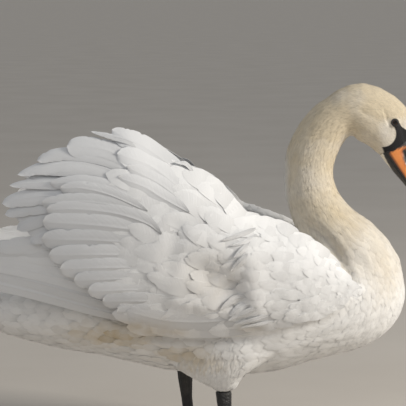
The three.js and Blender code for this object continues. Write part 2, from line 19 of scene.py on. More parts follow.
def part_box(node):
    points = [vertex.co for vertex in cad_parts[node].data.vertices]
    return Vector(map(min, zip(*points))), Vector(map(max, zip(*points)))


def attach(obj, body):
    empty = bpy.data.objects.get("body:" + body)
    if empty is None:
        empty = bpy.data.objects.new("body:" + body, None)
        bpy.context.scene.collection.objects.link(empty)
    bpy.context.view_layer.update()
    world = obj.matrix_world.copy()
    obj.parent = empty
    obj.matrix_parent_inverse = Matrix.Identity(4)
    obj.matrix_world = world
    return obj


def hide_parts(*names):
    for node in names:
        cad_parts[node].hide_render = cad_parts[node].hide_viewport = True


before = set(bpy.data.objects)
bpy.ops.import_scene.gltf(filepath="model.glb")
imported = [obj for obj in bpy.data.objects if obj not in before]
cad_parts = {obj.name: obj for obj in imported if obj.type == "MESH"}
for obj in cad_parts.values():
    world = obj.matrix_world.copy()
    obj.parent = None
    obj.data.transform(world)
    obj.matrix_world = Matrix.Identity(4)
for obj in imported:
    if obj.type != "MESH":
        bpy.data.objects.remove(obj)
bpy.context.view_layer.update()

LOG = logging.getLogger("swan")
Points = np.ndarray
Pairs = Sequence[Sequence[float]]

MM = 0.001
IMAGE_SIDE = 406
COAT_SEED, WING_SEED, TAIL_SEED = 11, 51, 71
BREAST_X = 291.0  # foremost point of the trunk in the bird's own millimetres
FRAME_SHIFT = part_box("trunk")[1].x / MM - BREAST_X

# Wing, seen from the side: the edges of the fleshy arm.
ARM_UPPER_EDGE = [[233, 246], [213, 257], [196, 277], [173, 305], [146, 325], [110, 343],
                  [78, 353], [60, 359], [43, 379], [20, 401], [-10, 417], [-39, 428]]
ARM_LOWER_EDGE = [[233, 236], [200, 222], [150, 206], [90, 195], [10, 187], [-62, 190]]
ARM_REAR_EDGE = [[-62, 190], [-76, 222], [-88, 270], [-92, 330], [-82, 384], [-64, 413],
                 [-39, 428]]

# Wing, seen from above and from the front: its outer surface as a domed shell.
WING_HALF_SPAN = [[-420, 50], [-300, 106], [-180, 146], [-60, 164], [60, 156], [150, 133],
                  [235, 82]]
WING_MIDDLE = [[-420, 283], [-100, 290], [0, 290], [80, 279], [150, 262], [235, 242]]
WING_RISE = [[-420, 200], [-115, 200], [-62, 175], [-17, 152], [22, 128], [50, 108],
             [80, 92], [150, 77], [200, 42], [235, 16]]
WING_DROP = [[-420, 153], [0, 153], [100, 130], [170, 95], [235, 34]]
LEFT_WING_LIFT = 0.91
SHELL_POWER = 2.4

# The line that the plumage flows along, from the root of the bill to the tail (x, z).
BODY_AXIS = [[276, 436], [262, 452], [240, 474], [222, 487], [207, 489], [194, 484], [181, 474],
             [169, 459], [159, 441], [152, 421], [150, 400], [153, 377], [163, 350], [180, 322],
             [203, 290], [218, 258], [219, 236], [205, 219], [170, 216], [100, 224], [0, 228],
             [-200, 218], [-365, 213], [-440, 215]]


class Side(Enum):
    """The two sides of the bird, as the sign of Y there."""

    RIGHT = -1
    LEFT = 1

    @property
    def word(self) -> str:
        """Say the side as it stands in node names."""
        return self.name.lower()


class Slot(Enum):
    """Material slots of the record."""

    WHITE = "white_plumage"
    FLIGHT = "flight_feathers"
    NECK = "neck_plumage"
    ORANGE = "orange_bill"
    HORN = "black_horn"
    BLACK_SKIN = "black_skin"
    LEG = "leg_skin"
    EYE = "eye"


# ---- curves and places
def to_frame(points: Points) -> Points:
    """Move points from the bird's own millimetres into the frame's metres.

    Args:
        points: Places in millimetres, one to a row.

    Returns:
        The same places in metres, in the frame.
    """
    return (np.asarray(points, float) + (FRAME_SHIFT, 0.0, 0.0)) * MM


def to_bird(points: Points) -> Points:
    """Move points from the frame's metres into the bird's own millimetres.

    Args:
        points: Places in metres, one to a row.

    Returns:
        The same places in millimetres.
    """
    return np.asarray(points, float) / MM - (FRAME_SHIFT, 0.0, 0.0)


def profile(pairs: Pairs) -> Callable[[Points], Points]:
    """Make a smooth function through given values.

    Args:
        pairs: Place and value, in rising order of place.

    Returns:
        A function from places to values.
    """
    places, values = np.array(pairs, float).T
    slopes = np.gradient(values, places)
    slopes[1:-1] = (values[2:] - values[:-2]) / (places[2:] - places[:-2])

    def value(x: Points) -> Points:
        """Read the value at each place.

        Args:
            x: The places.

        Returns:
            The values.
        """
        x = np.clip(x, places[0], places[-1])
        i = np.clip(np.searchsorted(places, x, side="right") - 1, 0, len(places) - 2)
        span = places[i + 1] - places[i]
        t = (x - places[i]) / span
        return (values[i] * (2 * t**3 - 3 * t**2 + 1) + slopes[i] * span * (t**3 - 2 * t**2 + t)
                + values[i + 1] * (3 * t**2 - 2 * t**3) + slopes[i + 1] * span * (t**3 - t**2))

    return value


def smooth_path(points: Pairs, count: int) -> Points:
    """Lay evenly spaced points along a smooth curve through a few given ones.

    Args:
        points: The points that shape the curve.
        count: How many points come back.

    Returns:
        The points along the curve, one to a row.
    """
    knots = np.asarray(points, float)
    gaps = np.linalg.norm(np.diff(knots, axis=0), axis=1) ** 0.5
    places = np.concatenate([[0.0], np.cumsum(gaps)])
    dense = np.linspace(0, places[-1], 40 * len(knots))
    curve = np.stack([profile(np.stack([places, column], 1))(dense) for column in knots.T], 1)
    lengths = np.concatenate([[0.0], np.cumsum(np.linalg.norm(np.diff(curve, axis=0), axis=1))])
    even = np.linspace(0, lengths[-1], count)
    return np.stack([np.interp(even, lengths, column) for column in curve.T], 1)


def along_path(path: Points, t: Points | float) -> Points:
    """Read points at fractions of an evenly spaced path.

    Args:
        path: Points of the path, one to a row.
        t: Fractions from 0 to 1.

    Returns:
        The points there.
    """
    places = np.linspace(0, 1, len(path))
    return np.stack([np.interp(t, places, column) for column in path.T], -1)


def smoothstep(low: float, high: float, x: Points) -> Points:
    """Rise softly from 0 at low to 1 at high.

    Args:
        low: Where the rise starts.
        high: Where it ends; it may be less than low.
        x: Places to read.

    Returns:
        Values from 0 to 1.
    """
    t = np.clip((np.asarray(x, float) - low) / (high - low), 0, 1)
    return t * t * (3 - 2 * t)


def unit(vectors: Points) -> Points:
    """Give vectors a length of one."""
    return vectors / np.maximum(np.linalg.norm(vectors, axis=-1, keepdims=True), 1e-12)


def from_segment(points: Points, start: Sequence[float], end: Sequence[float]) -> Points:
    """Measure how far points lie from a straight line between two others.

    Args:
        points: Points of the plane, one to a row.
        start: Where the line starts.
        end: Where it ends.

    Returns:
        The distance of each point.
    """
    start, end = np.asarray(start, float), np.asarray(end, float)
    span = end - start
    t = np.clip(((points - start) @ span) / (span @ span), 0, 1)
    return np.linalg.norm(points - start - t[:, None] * span, axis=1)


# ---- meshes
EDGE_ANGLE = math.radians(62)  # folds sharper than this keep a crisp edge


def build_mesh(name: str, points: Points, faces: Sequence[Points],
               maps: dict[str, Points] | None = None,
               values: dict[str, Points] | None = None) -> Object:
    """Make a smooth-shaded object from arrays.

    Args:
        name: The object's name.
        points: Places in metres, one to a row.
        faces: Arrays of corner indices, each array with faces of one size.
        maps: UV maps, each with one row for each point.
        values: Numbers kept at each point, by attribute name.

    Returns:
        The object, linked to the scene.
    """
    mesh = bpy.data.meshes.new(name)
    counts = np.concatenate([np.full(len(block), block.shape[1]) for block in faces])
    corners = np.concatenate([block.reshape(-1) for block in faces]).astype(np.int32)
    mesh.vertices.add(len(points))
    mesh.vertices.foreach_set("co", np.asarray(points, np.float32).reshape(-1))
    mesh.loops.add(len(corners))
    mesh.loops.foreach_set("vertex_index", corners)
    mesh.polygons.add(len(counts))
    starts = np.concatenate([[0], np.cumsum(counts)[:-1]]).astype(np.int32)
    mesh.polygons.foreach_set("loop_start", starts)
    mesh.polygons.foreach_set("loop_total", counts.astype(np.int32))
    for map_name, places in (maps or {}).items():
        layer = mesh.uv_layers.new(name=map_name)
        layer.uv.foreach_set("vector", np.asarray(places, np.float32)[corners].reshape(-1))
    set_values(mesh, **(values or {}))
    mesh.update(calc_edges=True)
    mesh.validate()
    thing = smooth_object(name, mesh)
    mesh.set_sharp_from_angle(angle=EDGE_ANGLE)
    return thing


def linked(name: str, data: ID) -> Object:
    """Make an object and link it to the scene.

    Args:
        name: The object's name.
        data: Its mesh, lamp or camera.

    Returns:
        The object.
    """
    thing = bpy.data.objects.new(name, data)
    bpy.context.scene.collection.objects.link(thing)
    return thing


def smooth_object(name: str, mesh: Mesh) -> Object:
    """Shade a mesh smooth and link it to the scene."""
    mesh.polygons.foreach_set("use_smooth", np.ones(len(mesh.polygons), bool))
    return linked(name, mesh)


def turn_outwards(mesh: Mesh) -> None:
    """Turn the faces of a closed mesh outwards.

    Args:
        mesh: The mesh.
    """
    work = bmesh.new()
    work.from_mesh(mesh)
    bmesh.ops.recalc_face_normals(work, faces=work.faces)
    if work.calc_volume(signed=True) < 0:
        bmesh.ops.reverse_faces(work, faces=work.faces)
    work.to_mesh(mesh)
    work.free()


def rows_of(items: Sequence, field: str, width: int, kind: type = np.float32) -> Points:
    """Read one field of a mesh's items.

    Args:
        items: The vertices, edges or other items.
        field: What is read of each.
        width: How many numbers it has.
        kind: What numbers they are.

    Returns:
        The field, one item to a row.
    """
    found = np.empty(len(items) * width, kind)
    items.foreach_get(field, found)
    return found.reshape(-1, width)


def mesh_points(mesh: Mesh) -> Points:
    """Read a mesh's vertices as an array."""
    return rows_of(mesh.vertices, "co", 3).astype(float)


def mesh_normals(mesh: Mesh) -> Points:
    """Read a mesh's vertex normals as an array."""
    return rows_of(mesh.vertex_normals, "vector", 3).astype(float)


def edges_of(mesh: Mesh) -> Points:
    """Read a mesh's edges as pairs of vertex indices."""
    return rows_of(mesh.edges, "vertices", 2, np.int32)


def set_points(mesh: Mesh, points: Points) -> None:
    """Move a mesh's vertices."""
    mesh.vertices.foreach_set("co", np.asarray(points, np.float32).reshape(-1))
    mesh.update()


def triangles_of(mesh: Mesh) -> Points:
    """Read a mesh's triangles as vertex indices."""
    mesh.calc_loop_triangles()
    return rows_of(mesh.loop_triangles, "vertices", 3, np.int32)


def set_values(mesh: Mesh, **values: Points) -> None:
    """Keep numbers or vectors at a mesh's vertices.

    Args:
        mesh: The mesh.
        values: Numbers, or vectors one to a row, by attribute name.
    """
    for name, rows in values.items():
        rows = np.asarray(rows, np.float32)
        kind, field = ("FLOAT", "value") if rows.ndim == 1 else ("FLOAT_VECTOR", "vector")
        mesh.attributes.new(name, kind, "POINT").data.foreach_set(field, rows.reshape(-1))


def finish_piece(thing: Object, material: Material,
                 replaced: Sequence[str] = ()) -> None:
    """Dress a piece, seat it on the frame and hide the solids it stands for.

    Args:
        thing: The piece.
        material: Its material.
        replaced: CAD nodes that it stands for.
    """
    thing.data.materials.clear()
    thing.data.materials.append(material)
    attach(thing, "root")
    if replaced:
        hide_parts(*replaced)
    LOG.info("%s: %d faces", thing.name, len(thing.data.polygons))


def merged_nodes(nodes: Sequence[str], grow: float) -> tuple[Mesh, Points]:
    """Copy CAD nodes into one mesh, each closed and slightly swollen.

    Args:
        nodes: Names of the nodes.
        grow: How far each surface moves outwards, in metres.

    Returns:
        The mesh, and for each of its faces the place of its node in the list.
    """
    whole = bmesh.new()
    owners: list[int] = []
    for place, node in enumerate(nodes):
        part = bmesh.new()
        part.from_mesh(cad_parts[node].data)
        bmesh.ops.remove_doubles(part, verts=part.verts, dist=1e-6)
        part.normal_update()
        for vertex in part.verts:
            vertex.co += vertex.normal * grow
        copy = bpy.data.meshes.new("copy")
        part.to_mesh(copy)
        owners += [place] * len(copy.polygons)
        whole.from_mesh(copy)
        part.free()
        bpy.data.meshes.remove(copy)
    mesh = bpy.data.meshes.new("merged")
    whole.to_mesh(mesh)
    whole.free()
    return mesh, np.array(owners)


def remeshed(mesh: Mesh, voxel: float, name: str) -> Mesh:
    """Wrap closed bodies in one even surface and keep its largest piece.

    Args:
        mesh: The bodies.
        voxel: Size of the surface's cells, in metres.
        name: Name of the new mesh.

    Returns:
        The surface.
    """
    thing = linked(name, mesh)
    wrap = thing.modifiers.new("wrap", "REMESH")
    wrap.mode = "VOXEL"
    wrap.voxel_size = voxel
    graph = bpy.context.evaluated_depsgraph_get()
    surface = bpy.data.meshes.new_from_object(thing.evaluated_get(graph))
    bpy.data.objects.remove(thing)
    work = bmesh.new()
    work.from_mesh(surface)
    left = set(work.verts)
    groups = []
    while left:
        group = {left.pop()}
        edge = list(group)
        while edge:
            vertex = edge.pop()
            for link in vertex.link_edges:
                other = link.other_vert(vertex)
                if other in left:
                    left.discard(other)
                    group.add(other)
                    edge.append(other)
        groups.append(group)
    keep = max(groups, key=len)
    bmesh.ops.delete(work, geom=[v for v in work.verts if v not in keep], context="VERTS")
    work.to_mesh(surface)
    work.free()
    surface.name = name
    return surface


def smoothed(points: Points, edges: Points, rounds: int, weight: Points | float = 1.0) -> Points:
    """Even out a surface without shrinking it.

    Args:
        points: Its vertices.
        edges: Its edges, as pairs of vertex indices.
        rounds: How many times it is evened out.
        weight: How strongly, for each vertex or for all.

    Returns:
        The moved vertices.
    """
    count = len(points)
    ends = np.concatenate([edges, edges[:, ::-1]])
    valence = np.maximum(np.bincount(ends[:, 0], minlength=count), 1)[:, None]
    weight = np.broadcast_to(np.asarray(weight, float), (count,))[:, None]
    for strength in (0.55, -0.57) * rounds:
        sums = np.stack([np.bincount(ends[:, 0], points[ends[:, 1], axis], minlength=count)
                         for axis in range(3)], 1)
        points = points + weight * strength * (sums / valence - points)
    return points


# ---- markings
# The face in the side view (x, z): cheek, upper line of the bare mask, eye and gape.
CHEEK_CENTRE = (254.2, 458.8)
CHEEK_RADIUS = 17.9
MASK_TOP = ((264.0, 477.5), (267.0, 480.4), (270.5, 481.2), (275.0, 477.5), (280.5, 469.5),
            (287.0, 465.0))
EYE_PLACE = (270.2, 475.4)
EYE_RIM = 6.0
EYE_DEPTH = 20.2
EYE_RADIUS = 8.0
EYE_OPENING = 4.5
GAPE = (252.0, 433.0)
# Yellowish brown patches of the flank, the wing and the neck, partly real stain and partly painted shade
# (under the wing's lower edge, at the tail's base, in the hollow of the arm and low on the front of the
# neck): centre and reach (x, z), and strength.
STAINS_AND_PAINTED_SHADE = (((-88, 199), (60, 20), 0.45), ((66, 200), (24, 9), 0.25), ((-40, 196), (30, 12), 0.3),
          ((-6, 158), (48, 18), 0.55), ((-105, 182), (70, 20), 0.7), ((12, 270), (60, 46), 0.16),
          ((255, 272), (30, 44), 0.3), ((205, 345), (24, 34), 0.2))


def bare_mask(points: Points) -> Points:
    """Tell the bare black skin between eye and bill from feathered skin.

    Args:
        points: Places in the bird's own millimetres.

    Returns:
        One on bare skin, nought on feathers, soft between.
    """
    x, y, z = points.T
    side = np.stack([x, z], 1)
    outside_cheek = smoothstep(-0.5, 0.9, np.linalg.norm(side - CHEEK_CENTRE, axis=1) - CHEEK_RADIUS)
    line_x, line_z = np.array(MASK_TOP).T
    below_brow = smoothstep(0.7, -0.7, z - np.interp(x, line_x, line_z))
    ahead = smoothstep(255.0, 257.5, x + 0.45 * (z - GAPE[1]) * (z < 450))
    ahead *= np.maximum(z < 462, smoothstep(263.5, 265.5, x))
    round_eye = smoothstep(0.6, -0.6, np.linalg.norm(side - EYE_PLACE, axis=1) - EYE_RIM) * (np.abs(y) > 10)
    above_gape = smoothstep(-3.8, -2.2, z - (GAPE[1] - 0.62 * (x - GAPE[0])))
    sideways = smoothstep(6.0, 8.0, np.abs(y) + 0.5 * np.maximum(x - 272, 0))
    return np.maximum(outside_cheek * below_brow * ahead * above_gape * sideways, round_eye)


def buff_tone(points: Points) -> Points:
    """Say how strongly the plumage is stained buff: nought on the body, one on the head.

    Args:
        points: Places in the bird's own millimetres.

    Returns:
        The strength from 0 to 1.
    """
    x, y, z = points.T
    on_neck = smoothstep(112, 124, x) * smoothstep(84, 70, np.abs(y)) * smoothstep(238, 300, z)
    up_neck = 0.5 + 0.36 * smoothstep(290, 370, z) + 0.16 * smoothstep(430, 500, z)
    up_neck *= 1 - 0.1 * smoothstep(175, 215, x) * smoothstep(420, 380, z)
    face = 1 - 0.35 * smoothstep(245, 262, x) * smoothstep(485, 470, z)
    return on_neck * up_neck * face


def stain_tone(points: Points) -> Points:
    """Say how strongly the plumage is darkened yellowish brown, by real stains and by painted shade.

    Args:
        points: Places in the bird's own millimetres.

    Returns:
        The strength from 0 to 1.
    """
    x, _, z = points.T
    total = np.zeros(len(points))
    for (centre_x, centre_z), (reach_x, reach_z), strength in STAINS_AND_PAINTED_SHADE:
        off = ((x - centre_x) / reach_x) ** 2 + ((z - centre_z) / reach_z) ** 2
        total = np.maximum(total, strength * np.exp(-1.4 * off))
    return total


# ---- node work
class NodeSheet:
    """A small hand for laying out the nodes of a material, a group or a tree."""

    def __init__(self, tree: NodeTree) -> None:
        """Start on a tree."""
        self.tree = tree

    def add(self, kind: str, inputs: dict | None = None, **settings: object) -> Node:
        """Add a node.

        Args:
            kind: The node's type.
            inputs: Socket names or places, each with a value or a socket to link from.
            settings: The node's own settings.

        Returns:
            The node.
        """
        node = self.tree.nodes.new(kind)
        for setting, value in settings.items():
            setattr(node, setting, value)
        self.feed(node, inputs or {})
        return node

    def feed(self, node: Node, inputs: dict) -> None:
        """Set a node's sockets or link them.

        Args:
            node: The node.
            inputs: Socket names or places, each with a value or a socket to link from.
        """
        for key, value in inputs.items():
            socket = node.inputs[key]
            if isinstance(value, NodeSocket):
                self.tree.links.new(value, socket)
            else:
                socket.default_value = (*value, 1) if socket.type == "RGBA" else value

    def maths(self, operation: str, *values: object) -> NodeSocket:
        """Add a maths node and give its result."""
        node = self.add("ShaderNodeMath", dict(enumerate(values)), operation=operation)
        return node.outputs[0]

    def vectors(self, operation: str, inputs: dict) -> NodeSocket:
        """Add a vector maths node and give its result."""
        return self.add("ShaderNodeVectorMath", inputs, operation=operation).outputs[0]

    def mixed(self, factor: object, first: object, second: object,
              blend: str = "MIX") -> NodeSocket:
        """Mix two colours and give the result."""
        node = self.add("ShaderNodeMix", {0: factor, 6: first, 7: second},
                        data_type="RGBA", blend_type=blend)
        return node.outputs[2]

    def value_of(self, name: str) -> NodeSocket:
        """Read a number kept at the mesh's points."""
        return self.add("ShaderNodeAttribute", attribute_name=name).outputs["Fac"]

    def object_place(self) -> NodeSocket:
        """Read the place on the object."""
        return self.add("ShaderNodeTexCoord").outputs["Object"]

    def noise(self, place: object, scale: float, detail: float = 3.0) -> NodeSocket:
        """Add an even noise and give its value."""
        node = self.add("ShaderNodeTexNoise", {"Vector": place, "Scale": scale, "Detail": detail})
        return node.outputs["Fac"]

    def ramp(self, factor: object, stops: Sequence[tuple]) -> NodeSocket:
        """Turn a value into a colour.

        Args:
            factor: The value.
            stops: Place and colour of each stop, in rising order of place.

        Returns:
            The colour.
        """
        node = self.add("ShaderNodeValToRGB", {"Fac": factor})
        while len(node.color_ramp.elements) < len(stops):
            node.color_ramp.elements.new(0.5)
        for element, (place, colour) in zip(node.color_ramp.elements, stops):
            element.position = place
            element.color = (*colour, 1.0)
        return node.outputs["Color"]


def shader_group(name: str, inputs: Sequence[tuple[str, str, object]],
                 outputs: Sequence[tuple[str, str]]) -> tuple[NodeSheet, dict, Node]:
    """Start a shader node group.

    Args:
        name: The group's name.
        inputs: Name, socket type and default of each input.
        outputs: Name and socket type of each output.

    Returns:
        The sheet to lay nodes on, the input sockets by name, and the output node.
    """
    tree = bpy.data.node_groups.new(name, "ShaderNodeTree")
    for label, kind, default in inputs:
        socket = tree.interface.new_socket(label, in_out="INPUT", socket_type=f"NodeSocket{kind}")
        if default is not None:
            socket.default_value = default
    for label, kind in outputs:
        tree.interface.new_socket(label, in_out="OUTPUT", socket_type=f"NodeSocket{kind}")
    sheet = NodeSheet(tree)
    source = sheet.add("NodeGroupInput")
    target = sheet.add("NodeGroupOutput")
    return sheet, {socket.name: socket for socket in source.outputs}, target


@cache
def plumage_tint_group() -> NodeTree:
    """Build the group that colours plumage by its markings and painted shade, with soft uneven patches.

    Returns:
        The group.
    """
    sheet, given, target = shader_group(
        "PlumageTint",
        [("Place", "Vector", None), ("Buff", "Float", 0.0), ("Stain", "Float", 0.0),
         ("Tone", "Float", 0.5), ("Root Shade", "Float", 0.0), ("White", "Color", (1, 1, 1, 1)),
         ("Buff Colour", "Color", (1, 1, 1, 1)), ("Stain Colour", "Color", (1, 1, 1, 1))],
        [("Color", "Color")])
    drift = sheet.noise(given["Place"], 21.0, 4.0)
    patch = sheet.maths("MULTIPLY_ADD", drift, 1.3, 0.35)
    buff = sheet.maths("MULTIPLY", given["Buff"], patch)
    colour = sheet.mixed(buff, given["White"], given["Buff Colour"])
    # Stains and painted shade, broken into flecks.
    fleck = sheet.maths("MULTIPLY_ADD", sheet.noise(given["Place"], 60.0, 4.0), 1.6, 0.1)
    stain = sheet.maths("MULTIPLY", given["Stain"], fleck)
    colour = sheet.mixed(stain, colour, given["Stain Colour"])
    light = sheet.maths("MULTIPLY_ADD", given["Tone"], 0.12, 0.91)
    light = sheet.maths("MULTIPLY_ADD", drift, 0.06, light)
    light = sheet.maths("MULTIPLY_ADD", given["Root Shade"], -0.2, light)
    shade = sheet.add("ShaderNodeCombineColor", {0: light, 1: light, 2: light}).outputs[0]
    sheet.feed(target, {"Color": sheet.mixed(1.0, colour, shade, "MULTIPLY")})
    return sheet.tree


@cache
def barb_relief_group() -> NodeTree:
    """Build the group that rules slanting barbs on a vane, bundled in uneven strands.

    Returns:
        The group.
    """
    sheet, given, target = shader_group(
        "BarbRelief",
        [("Vane", "Vector", None), ("Barbs", "Float", 60.0), ("Slant", "Float", 0.35)],
        [("Height", "Float")])
    parts = sheet.add("ShaderNodeSeparateXYZ", {0: given["Vane"]}).outputs
    across = sheet.maths("ABSOLUTE", sheet.maths("MULTIPLY_ADD", parts[0], 2.0, -1.0))
    lane = sheet.maths("MULTIPLY_ADD", across, sheet.maths("MULTIPLY", given["Slant"], -1.0), parts[1])
    turns = sheet.maths("MULTIPLY", lane, given["Barbs"])
    fine = sheet.maths("SINE", sheet.maths("MULTIPLY", turns, 2 * math.pi))
    strand_place = sheet.add("ShaderNodeCombineXYZ", {0: sheet.maths("MULTIPLY", turns, 0.35)}).outputs[0]
    strand = sheet.noise(strand_place, 1.0, 3.0)
    height = sheet.maths("MULTIPLY_ADD", fine, 0.18, sheet.maths("MULTIPLY", strand, 1.2))
    sheet.feed(target, {"Height": height})
    return sheet.tree


@cache
def scaled_skin_group() -> NodeTree:
    """Build the group that gives scaled or creased skin: cell height and the seams between.

    Returns:
        The group.
    """
    sheet, given, target = shader_group(
        "ScaledSkin",
        [("Place", "Vector", None), ("Scale", "Float", 300.0)],
        [("Height", "Float"), ("Seam", "Float")])
    wobble = sheet.add("ShaderNodeTexNoise", {"Vector": given["Place"], "Scale": 90.0})
    shift = sheet.vectors("SCALE", {0: wobble.outputs["Color"], "Scale": 0.004})
    place = sheet.vectors("ADD", {0: given["Place"], 1: shift})
    cells = sheet.add("ShaderNodeTexVoronoi", {"Vector": place, "Scale": given["Scale"]},
                      feature="DISTANCE_TO_EDGE").outputs["Distance"]
    height = sheet.add("ShaderNodeMapRange", {0: cells, 1: 0.0, 2: 0.22}, clamp=True).outputs[0]
    sheet.feed(target, {"Height": height, "Seam": sheet.maths("SUBTRACT", 1.0, height)})
    return sheet.tree


def start_material(name: str, roughness: float) -> tuple[Material, NodeSheet, Node]:
    """Start a material on a plain surface shader.

    Args:
        name: The material's name.
        roughness: Its even roughness.

    Returns:
        The material, its sheet and its surface shader.
    """
    material = bpy.data.materials.new(name)
    material.use_nodes = True
    surface = material.node_tree.nodes["Principled BSDF"]
    surface.inputs["Roughness"].default_value = roughness
    return material, NodeSheet(material.node_tree), surface


def add_relief(sheet: NodeSheet, surface: Node, height: NodeSocket,
               distance: float, strength: float = 1.0) -> None:
    """Feed a height into a surface's normal.

    Args:
        sheet: The material's sheet.
        surface: Its surface shader.
        height: The height to feed in.
        distance: The real depth of the relief, in metres.
        strength: How much of it shows.
    """
    bump = sheet.add("ShaderNodeBump", {"Height": height, "Distance": distance, "Strength": strength})
    sheet.feed(surface, {"Normal": bump.outputs["Normal"]})


@dataclass(frozen=True)
class Plumage:
    """Feathers: white, stained and given painted shade by the markings kept on each piece."""

    name: str
    white: tuple = (0.86, 0.855, 0.845)
    buff: tuple = (0.67, 0.58, 0.43)
    # Colour of the yellowish brown stains and of the painted shade.
    stain: tuple = (0.52, 0.38, 0.17)
    bare: tuple = (0.012, 0.012, 0.014)
    barbs: float = 40.0
    slant: float = 0.35
    relief: float = 0.0003
    fluff: float = 0.0005
    roughness: float = 0.78

    def material(self, vaned: bool = True) -> Material:
        """Build the material.

        Args:
            vaned: Whether the piece has vanes with a map of their own.

        Returns:
            The material.
        """
        material, sheet, surface = start_material(self.name, self.roughness)
        sheet.feed(surface, {"Sheen Weight": 0.12, "Sheen Roughness": 0.5, "Specular IOR Level": 0.25})
        place = sheet.object_place()
        given = {"Place": place, "Buff": sheet.value_of("buff"), "Stain": sheet.value_of("stain"),
                 "White": self.white, "Buff Colour": self.buff, "Stain Colour": self.stain}
        if vaned:
            vane = sheet.add("ShaderNodeUVMap", uv_map="Vane").outputs[0]
            along = sheet.add("ShaderNodeSeparateXYZ", {0: vane}).outputs[1]
            root = sheet.add("ShaderNodeMapRange", {0: along, 1: 0.5, 2: 0.0}).outputs[0]
            given |= {"Tone": sheet.value_of("tone"), "Root Shade": root}
        tint = sheet.add("ShaderNodeGroup", given, node_tree=plumage_tint_group())
        colour = tint.outputs["Color"]
        if vaned:
            ruled = {"Vane": vane, "Barbs": self.barbs, "Slant": self.slant}
            relief = sheet.add("ShaderNodeGroup", ruled, node_tree=barb_relief_group())
            add_relief(sheet, surface, relief.outputs["Height"], self.relief)
        else:
            creases = {"Place": place, "Scale": 420.0}
            skin = sheet.add("ShaderNodeGroup", creases, node_tree=scaled_skin_group())
            bare = sheet.value_of("bare")
            colour = sheet.mixed(bare, colour, self.bare)
            fluff = sheet.noise(place, 700.0, 2.0)
            height = sheet.maths("MULTIPLY_ADD", sheet.maths("MULTIPLY", skin.outputs["Height"], bare),
                                 0.3, fluff)
            add_relief(sheet, surface, height, self.fluff)
        sheet.feed(surface, {"Base Color": colour})
        return material


@dataclass(frozen=True)
class BillHorn:
    """Horn of two near colours, with dark red (partly painted shade) and black where values kept on the piece
    say so.
    """

    name: str = "bill horn"
    ground: tuple = (0.74, 0.205, 0.035)
    streaks: tuple = (0.82, 0.33, 0.10)
    # Dark red-brown: painted shade along the lip, and the ring round the nostril.
    rust: tuple = (0.26, 0.045, 0.008)
    black: tuple = (0.012, 0.011, 0.012)

    def material(self) -> Material:
        """Build the material.

        Returns:
            The material.
        """
        material, sheet, surface = start_material(self.name, 0.42)
        place = sheet.object_place()
        streak = sheet.noise(place, 130.0, 5.0)
        colour = sheet.mixed(streak, self.ground, self.streaks)
        colour = sheet.mixed(sheet.value_of("rust"), colour, self.rust)
        colour = sheet.mixed(sheet.value_of("dark"), colour, self.black)
        rough = sheet.add("ShaderNodeMapRange", {0: sheet.noise(place, 240.0), 3: 0.28, 4: 0.48})
        height = sheet.maths("MULTIPLY_ADD", sheet.noise(place, 900.0, 2.0), 0.5, streak)
        add_relief(sheet, surface, height, 0.0004)
        sheet.feed(surface, {"Base Color": colour, "Roughness": rough.outputs[0],
                             "Coat Weight": 0.35, "Coat Roughness": 0.22})
        return material


@dataclass(frozen=True)
class DarkSkin:
    """Bare black or grey skin, creased or scaled, with dust in its seams and on its heights."""

    name: str
    colour: tuple
    dust: tuple
    scale: float
    relief: float
    dustiness: float = 0.3
    roughness: float = 0.5

    def material(self) -> Material:
        """Build the material.

        Returns:
            The material.
        """
        material, sheet, surface = start_material(self.name, self.roughness)
        place = sheet.object_place()
        skin = sheet.add("ShaderNodeGroup", {"Place": place, "Scale": self.scale},
                         node_tree=scaled_skin_group())
        patch = sheet.add("ShaderNodeMapRange", {0: sheet.noise(place, 55.0, 5.0), 1: 0.42, 2: 0.7})
        dust = sheet.maths("MULTIPLY", patch.outputs[0], self.dustiness)
        seam = sheet.maths("MULTIPLY", skin.outputs["Seam"], -0.5)
        dust = sheet.maths("MULTIPLY_ADD", seam, dust, dust)
        colour = sheet.mixed(dust, self.colour, self.dust)
        rough = sheet.add("ShaderNodeMapRange", {0: dust, 3: self.roughness, 4: 0.9})
        add_relief(sheet, surface, skin.outputs["Height"], self.relief)
        sheet.feed(surface, {"Base Color": colour, "Roughness": rough.outputs[0]})
        return material


@dataclass(frozen=True)
class EyeGlass:
    """A wet, very dark brown eye with a faint iris round the pupil."""

    name: str = "eye"
    iris: tuple = (0.030, 0.012, 0.005)
    fibre: tuple = (0.055, 0.024, 0.010)
    pupil: tuple = (0.002, 0.002, 0.002)

    def material(self) -> Material:
        """Build the material.

        Returns:
            The material.
        """
        material, sheet, surface = start_material(self.name, 0.08)
        fibres = sheet.noise(sheet.object_place(), 1500.0, 2.0)
        iris = sheet.mixed(fibres, self.iris, self.fibre)
        colour = sheet.mixed(sheet.value_of("pupil"), iris, self.pupil)
        sheet.feed(surface, {"Base Color": colour, "Specular IOR Level": 0.35,
                             "Coat Weight": 0.25, "Coat Roughness": 0.03})
        return material


# ---- skin
@dataclass(frozen=True)
class Fold:
    """A ridge or groove on both sides, along a line in the side view; sizes in millimetres."""

    start: tuple
    end: tuple
    width: float
    height: float

    def lift(self, plane: Points) -> Points:
        """Say how far it lifts the surface at places of the side view."""
        away = from_segment(plane, self.start, self.end)
        return self.height * np.exp(-((away / self.width) ** 2))


